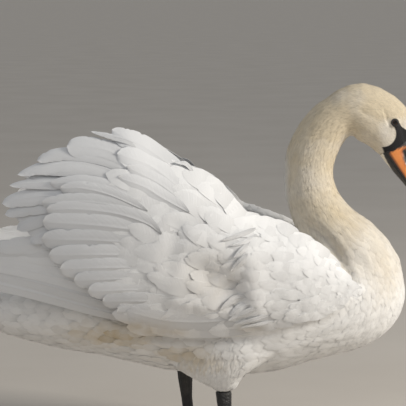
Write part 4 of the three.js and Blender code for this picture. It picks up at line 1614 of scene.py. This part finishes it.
@dataclass
class Wing:
    """A half-raised wing: vanes over the arm, coverts, secondaries and folded primaries."""

    side: Side
    secondaries: tuple = (
        Vane(((-70, 440), (-100, 455), (-128, 462), (-155, 467)), 9, VaneForm.POINTED, 2.0, 0.2, 0.6, 1.0),
        Vane(((-72, 419), (-120, 441), (-150, 448), (-187, 449)), 31, VaneForm.BROAD, 4.5, 0.8, 1.0,
             2.0, 1.0),
        Vane(((-75, 410), (-127, 433), (-175, 441), (-205, 439), (-228, 430)), 20, VaneForm.FLIGHT, 5, 2.4),
        Vane(((-72, 395), (-119, 418), (-163, 429), (-205, 426), (-255, 411)), 27, VaneForm.BLADE, 6, 3.2),
        Vane(((-72, 390), (-125, 414), (-170, 419), (-231, 415)), 18, VaneForm.BLADE, 7, 4.2),
        Vane(((-85, 379), (-139, 397), (-190, 404), (-234, 401), (-266, 397)), 23, VaneForm.BLADE, 8, 5.0),
        Vane(((-85, 366), (-126, 376), (-190, 386), (-243, 381), (-276, 372)), 25, VaneForm.FLIGHT, 8.6, 5.8),
        Vane(((-85, 353), (-125, 363), (-190, 372), (-239, 367), (-272, 357)), 21, VaneForm.FLIGHT, 9.2, 6.6),
        Vane(((-85, 343), (-125, 353), (-185, 360), (-222, 354), (-255, 337)), 24, VaneForm.FLIGHT, 9.8, 7.4),
        Vane(((-85, 326), (-125, 336), (-180, 340), (-212, 333), (-236, 320)), 24, VaneForm.FLIGHT,
             10.4, 8.2),
    )
    lobes: tuple = (
        Vane(((-20, 406), (-45, 424), (-66, 438), (-87, 451), (-126, 469)), 27, VaneForm.COVERT,
             3, 0.6, -1.2),
        Vane(((-16, 380), (-38, 399), (-58, 415), (-79, 427), (-117, 439)), 30, VaneForm.BROAD, 3, 0.8, -1.4),
        Vane(((-14, 366), (-45, 391), (-65, 404), (-103, 422)), 24, VaneForm.COVERT, 3, 0.8, -1.4),
        Vane(((-19, 363), (-58, 384), (-78, 396), (-115, 409)), 24, VaneForm.LOBE, 1.2, 0.9, -1.6),
        Vane(((-51, 364), (-112, 391), (-160, 402), (-208, 400)), 22, VaneForm.LOBE, 3, 2.0, -1.0),
        Vane(((-75, 365), (-126, 386), (-165, 394), (-194, 393)), 20, VaneForm.LOBE, 2, 0.6, -1.4),
        Vane(((-71, 358), (-105, 369), (-160, 376), (-219, 373)), 25, VaneForm.LOBE, 3, 0.6, -1.4),
        Vane(((-56, 335), (-74, 348), (-115, 361), (-166, 366), (-213, 364)), 26, VaneForm.LOBE,
             1.4, 0.4, -1.6),
    )
    covert_tips: tuple = ((-218, 348), (-220, 327), (-212, 308), (-200, 289), (-158, 256), (-117, 226))
    covert_roots: tuple = ((-50, 335), (-58, 312), (-60, 285), (-52, 255), (-46, 226))
    covert_count: int = 8
    lifted: Vane = Vane(((-13, 416), (-25, 423), (-39, 425)), 5.5, VaneForm.POINTED, 1.5, -2.5, 0.4, 0.6)
    ruffles: tuple = (
        Vane(((60, 247), (42, 243), (24, 230.5)), 10, VaneForm.POINTED, 2.0, -1.4, -0.8, 1.0),
        Vane(((64, 238), (50, 233), (36, 222)), 9, VaneForm.POINTED, 2.0, -1.3, 0.8, 1.0),
        Vane(((74, 232), (56, 225), (34.5, 214.5)), 11, VaneForm.POINTED, 2.0, -1.7, -0.8, 1.2),
        Vane(((92, 219), (70, 215), (44, 208)), 9, VaneForm.POINTED, 2.0, -1.4, -0.6, 1.0),
        Vane(((98, 210), (75, 207), (52, 203.5)), 6, VaneForm.POINTED, 2.0, -1.6, 0.5, 0.8),
        Vane(((72, 339), (50, 332), (26, 325)), 6, VaneForm.POINTED, 2.0, -1.6, -0.8, 0.8),
        Vane(((74, 331), (57, 323), (38, 318)), 6, VaneForm.POINTED, 2.0, -1.3, -0.8, 0.8),
        Vane(((64, 322), (53, 312), (42, 302)), 8, VaneForm.POINTED, 2.0, -1.6, -1.0, 1.0),
        Vane(((62, 306), (50, 296), (38, 284)), 9, VaneForm.POINTED, 2.0, -1.2, -1.0, 1.0),
    )
    edging: tuple = (
        Vane(((66, 216), (0, 211), (-50, 214), (-104, 228)), 27, VaneForm.FLIGHT, 2.6, 0.9, 0.2, 0.5),
        Vane(((84, 201), (0, 197), (-48, 199), (-101, 215)), 26, VaneForm.FLIGHT, 3.2, 1.9, 0.2, 0.6),
    )
    filler_count: int = 10
    primary_count: int = 7
    primary_tips: tuple = ((-285, 309), (-340, 304), (-385, 291), (-412, 272))

    def __post_init__(self) -> None:
        """Fix the wing's lift, its plan and its random source."""
        self.edge_margin = 0.7 if self.side is Side.LEFT else 0.42
        self.lift = LEFT_WING_LIFT if self.side is Side.LEFT else 1.0
        self.plan = ArmPlan()
        self.rng = np.random.default_rng(WING_SEED + self.side.value)

    def shell(self, x: Points, z: Points, depth: Points) -> Points:
        """Give places on the wing's shell.

        Args:
            x: Places along the body.
            z: Heights in the side view of a wing at full lift.
            depth: How deep below the outer surface.

        Returns:
            Places in millimetres.
        """
        middle = wing_middle(x)
        above = z > middle
        reach = np.where(above, wing_rise(x), wing_drop(x))
        t = np.clip((z - middle) / reach, -0.97, 0.97)
        depth = depth - wing_relief(x, z)
        out = (1 - np.abs(t) ** SHELL_POWER) ** 0.5
        y = self.side.value * (wing_half_span(x) - depth) * out
        lift = np.where(above, self.lift, 1.0)
        return np.stack([x, y, middle + t * (reach - depth) * lift], -1)

    def add_vane(self, batch: VaneBatch, vane: Vane) -> None:
        """Lay one feather on the shell.

        Args:
            batch: The batch that it joins.
            vane: The feather.
        """
        across = np.array(FINE_COLUMNS if vane.fine else COARSE_COLUMNS, float)
        rows = FINE_ROWS if vane.fine else COARSE_ROWS
        along = np.linspace(0, 1, rows) ** 0.85
        shaft = along_path(smooth_path(vane.shaft, 40), along)
        heading = unit(np.gradient(shaft, axis=0))
        sideways = np.stack([heading[:, 1], -heading[:, 0]], 1)
        half = vane.breadth / 2 * vane.form.half(along)
        ragged = self.splits(rows, across) if vane.fine else 1.0
        offset = across[None] * half[:, None] * ragged
        x = shaft[:, :1] + offset * sideways[:, :1]
        z = shaft[:, 1:] + offset * sideways[:, 1:]
        depth = vane.root_depth + (vane.tip_depth - vane.root_depth) * smoothstep(0, vane.settle, along)
        wave = 0.35 * np.sin(7 * along + 6.28 * self.rng.random())
        depth = (depth + wave)[:, None] + vane.tilt * across + vane.camber * across[None] ** 2 * (
            half / half.max())[:, None]
        rachis = RACHIS_HEIGHT * (np.abs(across) < 0.02) * (1 - along[:, None] ** 2) * vane.fine
        top = self.shell(x, z, depth - rachis)
        bottom = self.shell(x, z, depth + VANE_THICKNESS * (1 - 0.5 * along[:, None]))
        batch.add(top, bottom, across, float(self.rng.random()))

    def splits(self, rows: int, across: Points) -> Points:
        """Part the vane's edges here and there.

        Args:
            rows: How many rows the vane has.
            across: Its columns.

        Returns:
            What the offsets across are multiplied by.
        """
        ragged = np.ones((rows, len(across)))
        for side in (-1, 1):
            edge = np.clip((across * side - 0.5) / 0.5, 0, 1)
            for row in self.rng.integers(rows // 2, rows - 3, 3):
                ragged[row] -= edge * self.rng.uniform(0.05, 0.16)
        return ragged

    def build(self) -> None:
        """Build and dress the wing's feathers."""
        word = self.side.word
        self.dress(self.arm_vanes(), Slot.WHITE, 56, ARM_WHITE, ())
        self.dress(self.covert_vanes(), Slot.FLIGHT, 70, PAINTED_SHADE_WING_WHITE, (f"wing_coverts_{word}",))
        self.dress(self.secondary_vanes(), Slot.FLIGHT, 110, PAINTED_SHADE_WING_WHITE, (f"wing_secondaries_{word}",))
        self.dress(self.primary_vanes(), Slot.FLIGHT, 130, ARM_WHITE, (f"wing_primaries_{word}",))

    @staticmethod
    def dress(batch: VaneBatch, slot: Slot, barbs: float, white: tuple, replaced: Sequence[str]) -> None:
        """Finish a batch as a piece.

        Args:
            batch: The feathers.
            slot: The slot of their finish; not used.
            barbs: How many barbs run across a vane's length.
            white: Their ground colour.
            replaced: The nodes that they stand for.
        """
        material = Plumage(batch.name, barbs=barbs, slant=0.14, white=white).material()
        finish_piece(batch.build(), material, replaced)

    def arm_vanes(self) -> VaneBatch:
        """Shingle the outer face of the arm with lesser and median coverts and scapulars.

        Returns:
            The feathers.
        """
        batch = VaneBatch(f"wing_shoulder_feathers_{self.side.word}")
        u = -0.02
        while u < 0.97:
            u += self.lay_rank(batch, u)
        return batch

    def lay_rank(self, batch: VaneBatch, u: float) -> float:
        """Lay one rank of the arm's feathers, from its lower to its upper edge.

        Args:
            batch: The batch that they join.
            u: Where along the arm their roots lie.

        Returns:
            How much further along the next rank lies.
        """
        length, breadth = 22 + 36 * u, 9 + 16 * u
        start = max(u, 0.0)
        ruffle = float(smoothstep(0.12, 0.45, start) * smoothstep(1.0, 0.78, start))
        height = self.plan.distance((start, 1.0), (start, 0.0))
        stretch = self.plan.distance((start + 0.05, 0.5), (start, 0.5)) / 0.05
        count = max(2, round(height / (0.58 * breadth)))
        margin = self.edge_margin * breadth / height
        line = np.linspace(0, 1, 6)
        for k in range(count + 1):
            chance = self.rng.random(5)
            v = margin + (1 - 2 * margin) * min((k + 0.7 * chance[0]) / count, 1.0)
            root_u = u + 0.4 * length / stretch * (chance[1] - 0.5)
            reach = length * (0.85 + 0.35 * chance[2]) / stretch
            veer = (0.14 + 0.30 * ruffle) * length / height * (chance[3] - 0.5)
            shaft = self.plan.place(np.maximum(root_u + reach * line, 0.0),
                                    np.clip(v + veer * line, margin, 1 - margin))
            tip_depth = 1.9 + (0.2 + 1.2 * ruffle) * (chance[4] - 0.5)
            vane = Vane(shaft, breadth * (0.85 + 0.3 * chance[2]), VaneForm.SOFT,
                        2.4 + 0.9 * ruffle, tip_depth, -0.4 * ruffle * chance[1], 0.25 * ruffle,
                        fine=False)
            self.add_vane(batch, vane)
        return 0.42 * length / stretch

    def covert_vanes(self) -> VaneBatch:
        """Lay the long lobes of the scapulars and greater coverts, whose upper edges stand proud.

        Returns:
            The feathers.
        """
        batch = VaneBatch(f"wing_covert_feathers_{self.side.word}")
        for vane in (*self.lobes, self.lifted, *self.ruffles):
            self.add_vane(batch, vane)
        tips, roots = smooth_path(self.covert_tips, 60), smooth_path(self.covert_roots, 60)
        for n in range(self.covert_count):
            t = n / (self.covert_count - 1)
            root, tip = along_path(roots, t), along_path(tips, t)
            shaft = (root, (root + tip) / 2 + (0, 3.0 - 2.0 * t), tip)
            self.add_vane(batch, Vane(shaft, 31 - 7 * t, VaneForm.BROAD, 3.6, 0.7 + 0.4 * t, -1.6))
        return batch

    def secondary_vanes(self) -> VaneBatch:
        """Lay the secondaries and tertials, with a closed rank of them underneath.

        Returns:
            The feathers.
        """
        batch = VaneBatch(f"wing_secondary_feathers_{self.side.word}")
        for vane in (*self.secondaries, *self.edging):
            self.add_vane(batch, vane)
        kept = self.secondaries[1:]
        rails = [smooth_path([vane.shaft[place] for vane in kept], 60) for place in (0, 1, -1)]
        for n in range(self.filler_count):
            root, middle, tip = (along_path(rail, n / (self.filler_count - 1)) for rail in rails)
            shaft = (root, middle, root + (tip - root) * 0.92)
            self.add_vane(batch, Vane(shaft, 32, VaneForm.FLIGHT, 10.5, 9.4, 0.8, 1.5))
        return batch

    def primary_vanes(self) -> VaneBatch:
        """Lay the folded primaries.

        Returns:
            The feathers.
        """
        batch = VaneBatch(f"wing_primary_feathers_{self.side.word}")
        tips = smooth_path(self.primary_tips, 40)
        for n in range(self.primary_count):
            t = n / (self.primary_count - 1)
            root, tip = along_path(self.plan.rear, 0.52 - 0.50 * t), along_path(tips, t)
            shaft = (root, (root + tip) / 2 + (0, 6 + 5 * t), tip)
            self.add_vane(batch, Vane(shaft, 27 - 4 * t, VaneForm.FLIGHT, 15.0, 14.2 + 0.3 * n, 1.1, 1.2))
        return batch


# ---- tail
@dataclass
class Tail:
    """A short fan of tail feathers; sizes in millimetres."""

    base_x: float = -285.0
    tip_x: float = -471.0
    half_breadth: float = 62.0
    height: float = 215.0
    feather_half: float = 13.5
    count: int = 11
    rows: int = 24
    columns: tuple = (-1, -0.9, -0.6, -0.3, -0.05, 0, 0.05, 0.3, 0.6, 0.9, 1)

    def build(self) -> None:
        """Build and dress the fan, outer feathers lowest."""
        batch = VaneBatch("tail_feathers")
        rng = np.random.default_rng(TAIL_SEED)
        across = np.array(self.columns, float)
        along = np.linspace(0, 1, self.rows) ** 0.85
        for n in range(self.count):
            s = 2 * n / (self.count - 1) - 1
            reach = 1 - 0.40 * s**2
            x = self.base_x + (self.tip_x - self.base_x) * reach * along
            y = s * self.half_breadth * (0.45 + 0.48 * along**0.8)
            half = self.feather_half * VaneForm.FLIGHT.half(along)
            side = y[:, None] + across * half[:, None]
            layer = 3.2 * (1 - abs(s)) - 10 * s**2
            z = self.height + layer + 3 * along[:, None] - 1.6 * across**2 - np.sign(s) * across
            place = np.stack([np.broadcast_to(x[:, None], z.shape), side, z], -1)
            rachis = RACHIS_HEIGHT * (np.abs(across) < 0.02)[:, None] * np.array((0, 0, 1))
            batch.add(place + rachis, place - (0, 0, VANE_THICKNESS), across, float(rng.random()))
        material = Plumage("tail feathers", barbs=110, slant=0.14).material()
        finish_piece(batch.build(), material, ("tail",))


# ---- bill and eyes
BILL_ORIGIN = (263.2, 428.9)  # the gape, where the cutting edge starts (x, z)
BILL_ANGLE = math.radians(-54.5)
BARE_BLACK = (0.012, 0.012, 0.013)


def bill_place(along: Points, across: Points, rise: Points) -> Points:
    """Turn places measured along the bill's cutting edge into the bird's millimetres.

    Args:
        along: Distance from the gape towards the tip.
        across: Distance to the left of the middle.
        rise: Height above the cutting edge.

    Returns:
        Places in millimetres.
    """
    cos, sin = math.cos(BILL_ANGLE), math.sin(BILL_ANGLE)
    x = BILL_ORIGIN[0] + cos * along - sin * rise
    z = BILL_ORIGIN[1] + sin * along + cos * rise
    return np.stack([x, across, z], -1)


def ring_faces(rows: int, count: int) -> Points:
    """List the faces of a tube of rings, as vertex indices."""
    grid = np.arange(rows * count).reshape(rows, count)
    return quads_of(np.concatenate([grid, grid[:, :1]], 1))


def closed_tube(name: str, rings: Points, values: dict[str, Points]) -> Object:
    """Make a closed body from rings, with a fan at each end.

    Args:
        name: The object's name.
        rings: Rows of places in millimetres, one ring to a row.
        values: Numbers kept at the points, in the same shape as the rings.

    Returns:
        The object, with its faces turned outwards.
    """
    rows, count = rings.shape[:2]
    ends = np.stack([rings[0].mean(0), rings[-1].mean(0)])
    points = np.concatenate([rings.reshape(-1, 3), ends])
    last = rows * count
    ring = np.arange(count)
    turned = np.roll(ring, -1)
    first_fan = np.stack([np.full(count, last), turned, ring], 1)
    last_fan = np.stack([np.full(count, last + 1), ring, turned], 1) + (0, last - count, last - count)
    kept = {key: np.concatenate([grid.reshape(-1), [grid[0].mean(), grid[-1].mean()]])
            for key, grid in values.items()}
    thing = build_mesh(name, to_frame(points), [ring_faces(rows, count), first_fan, last_fan], None, kept)
    turn_outwards(thing.data)
    return thing


def ball_angles(rings: int, count: int, pole: float) -> tuple[Points, Points]:
    """Lay out the angles of a ball's rings.

    Args:
        rings: How many rings it has.
        count: How many points a ring has.
        pole: How far the first and the last ring lie from the poles, in radians.

    Returns:
        The turn round the ball's axis and the fall from its pole, one ring to a row.
    """
    return np.meshgrid(np.linspace(0, 2 * math.pi, count, endpoint=False),
                       np.linspace(pole, math.pi - pole, rings))


@dataclass
class Bill:
    """Upper and lower bill with nostrils, dark cutting edge and nail, and the knob above."""

    length: float = 96.0
    lower_length: float = 90.0
    nail_start: float = 84.0
    culmen: tuple = ((-6, 38), (0, 38), (20, 31), (40, 22), (60, 15.5), (80, 11), (96, 7))
    half_breadth: tuple = ((-6, 17), (0, 17), (25, 15.5), (50, 15), (75, 16.2), (96, 14))
    lower_depth: tuple = ((-6, 10.6), (0, 10.6), (16, 9.8), (30, 8.6), (50, 6.4), (90, 4))
    nostril: tuple = ((9.0, 21.0), (25.0, 15.5))
    knob_centre: tuple = (293.0, 468.0)
    knob_radii: tuple = (15.2, 11.2, 14.2)
    knob_tilt: float = 48.0
    sunk: float = 6.0  # how far both halves run back under the skin
    upper_grid: tuple = (72, 56)
    lower_grid: tuple = (48, 40)

    def build(self) -> None:
        """Build and dress the bill's pieces."""
        finish_piece(self.upper(), BillHorn().material(), ("bill_upper",))
        horn = BillHorn("black bill horn and chin", (0.78, 0.72, 0.60), (0.84, 0.79, 0.68))
        finish_piece(self.lower(), horn.material(), ("bill_lower",))
        skin = DarkSkin("black bare skin", BARE_BLACK, (0.10, 0.10, 0.10), 420, 0.0003, 0.15, 0.5)
        finish_piece(self.knob(), skin.material(), ("bill_knob",))

    @staticmethod
    def taper(along: Points, length: float) -> Points:
        """Round off the bill's tip."""
        nail = np.clip((along / length - 0.72) / 0.28, 0, 1)
        return np.maximum(1 - nail**2.4, 0.004) ** 0.5

    def rings(self, length: float, grid: tuple) -> tuple[Points, Points, Points]:
        """Lay out the rings of one half of the bill.

        Args:
            length: Its length from the gape.
            grid: How many rings it has, and how many points a ring has.

        Returns:
            Where each ring lies along the bill, and the sine and cosine round a ring.
        """
        rows, count = grid
        along = -self.sunk + (length + self.sunk) * np.sin(np.linspace(0, 1, rows) * math.pi / 2)
        angle = np.linspace(0, 2 * math.pi, count, endpoint=False)
        return along, np.sin(angle), np.cos(angle)

    def upper(self) -> Object:
        """Shape the upper bill.

        Returns:
            The object.
        """
        along, sin, cos = self.rings(self.length, self.upper_grid)
        rounding = self.taper(along, self.length)
        height = profile(self.culmen)(along) * (0.35 + 0.65 * rounding)
        breadth = profile(self.half_breadth)(along) * rounding
        square = 0.86 + 0.2 * smoothstep(20, 60, along)
        above, below = np.abs(sin) ** 0.92 * height[:, None], -2.6 * np.abs(sin) * rounding[:, None]
        rise = np.where(sin > 0, above, below)
        across = np.sign(cos) * np.abs(cos) ** square[:, None] * breadth[:, None]
        grid_along = np.broadcast_to(along[:, None], rise.shape)
        plane = np.stack([grid_along, rise], -1).reshape(-1, 2)
        slit = from_segment(plane, *self.nostril).reshape(rise.shape)
        across = across * (1 - 0.22 * np.exp(-((slit / 2.0) ** 2)))
        groove = from_segment(plane, (2.0, 26.0), (44.0, 13.0)).reshape(rise.shape)
        across = across * (1 - 0.05 * np.exp(-((groove / 4.5) ** 2)))
        lip = np.exp(-(((rise + 0.4) / 1.1) ** 2)) * 0.5
        across = across + np.sign(across) * lip * smoothstep(0, 12, grid_along)
        nail = smoothstep(self.nail_start - 0.8, self.nail_start + 0.8,
                          grid_along - 0.02 * across**2 - 0.1 * np.abs(across))
        around_nostril = smoothstep(4.2, 3.0, slit)
        edge = smoothstep(0.9, 0.2, rise)
        base_line = np.interp(rise, (0, 10.7, 19.5, 27.2, 38), (-3.0, -0.2, 1.3, 4.6, 12.0))
        base = smoothstep(0.7, -0.7, grid_along - base_line)
        ridge = smoothstep(0.6, 0.9, rise / np.maximum(height[:, None], 1)) * smoothstep(24, 12, grid_along)
        # Painted shade: dark red-brown along the lip just above the cutting edge, fading out towards the tip;
        # beside it a dark red-brown ring round the nostril.
        lip_painted_shade = 0.75 * smoothstep(5.5, 1.5, rise) * smoothstep(70, 15, grid_along)
        values = {"dark": np.maximum.reduce([nail, around_nostril, edge, base, ridge]),
                  "rust": np.maximum(lip_painted_shade, 0.6 * smoothstep(7.5, 4.0, slit))}
        return closed_tube("upper_bill", bill_place(grid_along, across, rise), values)

    def lower(self) -> Object:
        """Shape the lower bill.

        Returns:
            The object.
        """
        along, sin, cos = self.rings(self.lower_length, self.lower_grid)
        rounding = self.taper(along, self.lower_length)
        depth = profile(self.lower_depth)(along) * (0.35 + 0.65 * rounding)
        breadth = (profile(self.half_breadth)(along) - 1.4) * rounding
        rise = np.where(sin > 0, 0.6 * sin, sin * depth[:, None])
        across = np.sign(cos) * np.abs(cos) ** 0.8 * breadth[:, None]
        keel = np.exp(-((across / 5.0) ** 2)) * smoothstep(-1, -4, rise) * smoothstep(80, 40, along)[:, None]
        rise = rise + 1.6 * keel
        grid_along = np.broadcast_to(along[:, None], rise.shape)
        chin_line = np.interp(grid_along, (-6, 4, 16, 30, 60), (-5.6, -7.2, -8.2, -9.0, -12.0))
        chin = smoothstep(0.5, -0.5, rise - chin_line)
        values = {"dark": 1 - chin, "rust": np.zeros_like(chin)}
        return closed_tube("lower_bill", bill_place(grid_along, across, rise), values)

    def knob(self) -> Object:
        """Shape the knob over the root of the bill.

        Returns:
            The object.
        """
        turn, fall = ball_angles(32, 48, 0.02)
        x, y, z = np.sin(fall) * np.cos(turn), np.sin(fall) * np.sin(turn), np.cos(fall)
        lump = 1 + 0.02 * np.sin(5 * x + 2) * np.sin(6 * y) + 0.012 * np.sin(9 * z)
        ball = np.stack([x, y, z], -1) * lump[..., None] * self.knob_radii
        tilt = np.array(Euler((0, math.radians(self.knob_tilt), 0)).to_matrix())
        rings = ball @ tilt.T + (self.knob_centre[0], 0, self.knob_centre[1])
        return closed_tube("bill_berry", rings, {})


@dataclass
class Eye:
    """One eye with the lids round it; sizes in millimetres."""

    side: Side
    centre: tuple = (EYE_PLACE[0], EYE_DEPTH, EYE_PLACE[1])
    radius: float = EYE_RADIUS
    opening: tuple = (4.7, 4.0)
    lid: tuple = (1.35, 0.75)
    clearance: float = 0.15
    slope: float = -35.0

    def build(self) -> None:
        """Build and dress the eyeball and its lids."""
        word = self.side.word
        turn, fall = ball_angles(30, 40, 0.015)
        ball = np.stack([np.sin(fall) * np.cos(turn), np.cos(fall) * self.side.value,
                         np.sin(fall) * np.sin(turn)], -1)
        pupil = smoothstep(0.34, 0.30, fall)
        centre = np.array(self.centre) * (1, self.side.value, 1)
        eyeball = closed_tube(f"eyeball_{word}", centre + ball * self.radius, {"pupil": pupil})
        finish_piece(eyeball, EyeGlass().material(), (f"eye_{word}",))
        skin = DarkSkin(f"eyelid skin {word}", BARE_BLACK, (0.09, 0.09, 0.09), 900, 0.0002, 0.1, 0.5)
        finish_piece(self.lids(centre), skin.material())

    def lids(self, centre: Points) -> Object:
        """Shape the rim of the lids, hugging the eyeball.

        Args:
            centre: Middle of the eyeball.

        Returns:
            The object.
        """
        turn = np.linspace(0, 2 * math.pi, 48, endpoint=False)
        roll = np.linspace(0, 2 * math.pi, 12, endpoint=False)
        slope = math.radians(self.slope)
        wide, tall = self.opening
        flat_x = wide * np.cos(turn)
        flat_z = tall * np.sin(turn) * (1 - 0.15 * np.cos(turn))
        x = flat_x * math.cos(slope) - flat_z * math.sin(slope)
        z = flat_x * math.sin(slope) + flat_z * math.cos(slope)
        ride_radius = self.radius + self.clearance
        y = np.sqrt(ride_radius**2 - x**2 - z**2)
        rim = np.stack([x, y * self.side.value, z], -1)
        outward = unit(rim)
        along = unit(np.roll(rim, -1, 0) - np.roll(rim, 1, 0))
        across = unit(np.cross(outward, along))
        ring = (across[:, None] * np.cos(roll)[None, :, None] * self.lid[0]
                + outward[:, None] * np.sin(roll)[None, :, None] * self.lid[1])
        places = centre + rim[:, None] + ring
        grid = np.arange(places[..., 0].size).reshape(places.shape[:2])
        grid = np.concatenate([grid, grid[:, :1]], 1)
        grid = np.concatenate([grid, grid[:1]], 0)
        thing = build_mesh(f"eyelids_{self.side.word}", to_frame(places.reshape(-1, 3)), [quads_of(grid)])
        turn_outwards(thing.data)
        return thing


# ---- legs
@dataclass
class Leg:
    """A scaled shank and webbed foot, with its claws; sizes in millimetres."""

    side: Side
    grow: float = 0.25
    voxel: float = 1.15
    smoothing: int = 4
    scute: float = 4.2
    scute_depth: float = 0.16
    sink: float = 0.2
    claws: tuple = ("inner", "middle", "outer", "hind")

    def build(self) -> None:
        """Build and dress the leg and its claws."""
        word = self.side.word
        nodes = [f"tarsus_{word}", f"foot_{word}"]
        solids, _ = merged_nodes(nodes, self.grow * MM)
        mesh = remeshed(solids, self.voxel * MM, f"leg_{word}")
        points = smoothed(mesh_points(mesh), edges_of(mesh), self.smoothing)
        set_points(mesh, points)
        normals = mesh_normals(mesh)
        bird = to_bird(points)
        heel = to_bird(np.array(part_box(f"tarsus_{word}")[0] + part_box(f"tarsus_{word}")[1])[None] / 2)[0]
        upward = smoothstep(0.2, 0.6, normals[:, 2]) * smoothstep(16, 12, bird[:, 2])
        away = np.hypot(bird[:, 0] - heel[0] - 4, bird[:, 1] - heel[1])
        toe_groove = np.cos(2 * math.pi * away / self.scute) * upward * smoothstep(10, 25, away)
        front = smoothstep(0.1, 0.6, normals[:, 0]) * smoothstep(16, 22, bird[:, 2])
        shank_groove = np.cos(2 * math.pi * bird[:, 2] / self.scute) * front
        depth = self.scute_depth * (toe_groove + shank_groove) - self.sink
        points = points + normals * (depth * MM)[:, None]
        points[:, 2] = np.maximum(points[:, 2], 0.0)
        set_points(mesh, points)
        thing = smooth_object(f"leg_skin_{word}", mesh)
        skin = DarkSkin(f"leg skin {word}", (0.018, 0.018, 0.020), (0.14, 0.13, 0.115), 330, 0.0006,
                        0.36, 0.45)
        finish_piece(thing, skin.material(), nodes)
        self.build_claws()

    def build_claws(self) -> None:
        """Round the claws of the foot and dress them."""
        word = self.side.word
        nodes = [f"claw_{name}_{word}" for name in self.claws]
        mesh, _ = merged_nodes(nodes, 0.0)
        thing = smooth_object(f"claws_{word}", mesh)
        rounding = thing.modifiers.new("rounding", "SUBSURF")
        rounding.levels = 2
        rounding.render_levels = 2
        graph = bpy.context.evaluated_depsgraph_get()
        result = bpy.data.meshes.new_from_object(thing.evaluated_get(graph))
        thing.modifiers.clear()
        thing.data = result
        horn = DarkSkin(f"claw horn {word}", (0.016, 0.014, 0.013), (0.15, 0.13, 0.11), 150, 0.0001, 0.2, 0.4)
        finish_piece(thing, horn.material(), nodes)


# ---- studio
@dataclass(frozen=True)
class Studio:
    """Plain floor, soft lights and the camera; sizes in metres, the image's in pixels."""

    distance: float = 2.6
    camera_height: float = 0.654
    focal_pixels: float = 1831.0
    sensor: float = 36.0  # millimetres
    drop_pixels: float = 208.0
    floor_half: float = 400.0
    view_reach: float = 2000.0

    def build(self) -> None:
        """Set up the floor, lights, backdrop and camera."""
        self.floor()
        self.lights()
        self.camera()

    def floor(self) -> None:
        """Lay the floor."""
        half = self.floor_half
        corners = np.array([[-half, -half, 0], [half, -half, 0], [half, half, 0], [-half, half, 0]])
        plane = build_mesh("floor", corners, [np.array([[0, 1, 2, 3]])])
        material, sheet, surface = start_material("pale floor", 0.9)
        grain = sheet.noise(sheet.object_place(), 3.0, 4.0)
        colour = sheet.ramp(grain, ((0.3, (0.54, 0.50, 0.45)), (0.7, (0.58, 0.54, 0.49))))
        sheet.feed(surface, {"Base Color": colour})
        plane.data.materials.append(material)

    def lights(self) -> None:
        """Hang a warm key ahead, a little to the right, a cool fill high on the right, and an even sky."""
        world = bpy.data.worlds.new("studio")
        bpy.context.scene.world = world
        world.use_nodes = True
        background = world.node_tree.nodes["Background"]
        background.inputs["Color"].default_value = (0.87, 0.88, 0.89, 1)
        background.inputs["Strength"].default_value = 0.46
        bpy.context.scene.view_settings.view_transform = "Standard"
        self.lamp("key", (2.4, -0.85, 1.45), 0.7, 60.0, (1.0, 0.945, 0.86))
        self.lamp("fill", (-1.2, -2.6, 2.4), 2.2, 6.0, (0.93, 0.95, 1.0))

    @staticmethod
    def lamp(name: str, place: tuple, size: float, power: float, colour: tuple) -> None:
        """Hang one square lamp that faces the bird.

        Args:
            name: The lamp's name.
            place: Where it hangs, in metres.
            size: Its side, in metres.
            power: Its power, in watts.
            colour: Its colour.
        """
        data = bpy.data.lights.new(name, "AREA")
        data.size = size
        data.energy = power
        data.color = colour
        lamp = linked(name, data)
        lamp.location = place
        lamp.rotation_euler = (Vector((0, 0, 0.25)) - Vector(place)).to_track_quat("-Z", "Y").to_euler()

    def camera(self) -> None:
        """Stand the camera on the bird's right, a little above its head and aimed slightly down."""
        data = bpy.data.cameras.new("camera")
        data.sensor_width = self.sensor
        data.lens = self.sensor * self.focal_pixels / IMAGE_SIDE
        data.clip_end = self.view_reach
        camera = linked("camera", data)
        camera.location = (FRAME_SHIFT * MM, -self.distance, self.camera_height)
        pitch = math.atan(self.drop_pixels / self.focal_pixels)
        camera.rotation_euler = (math.pi / 2 - pitch, 0, 0)
        bpy.context.scene.camera = camera


def main() -> None:
    """Build the bird piece by piece, then the studio."""
    logging.basicConfig(level=logging.INFO, format="%(name)s %(message)s")
    skin = Skin()
    skin.build()
    Coat(skin).build()
    for side in Side:
        Wing(side).build()
        Eye(side).build()
        Leg(side).build()
    Tail().build()
    Bill().build()
    Studio().build()


if __name__ == "__main__":
    main()
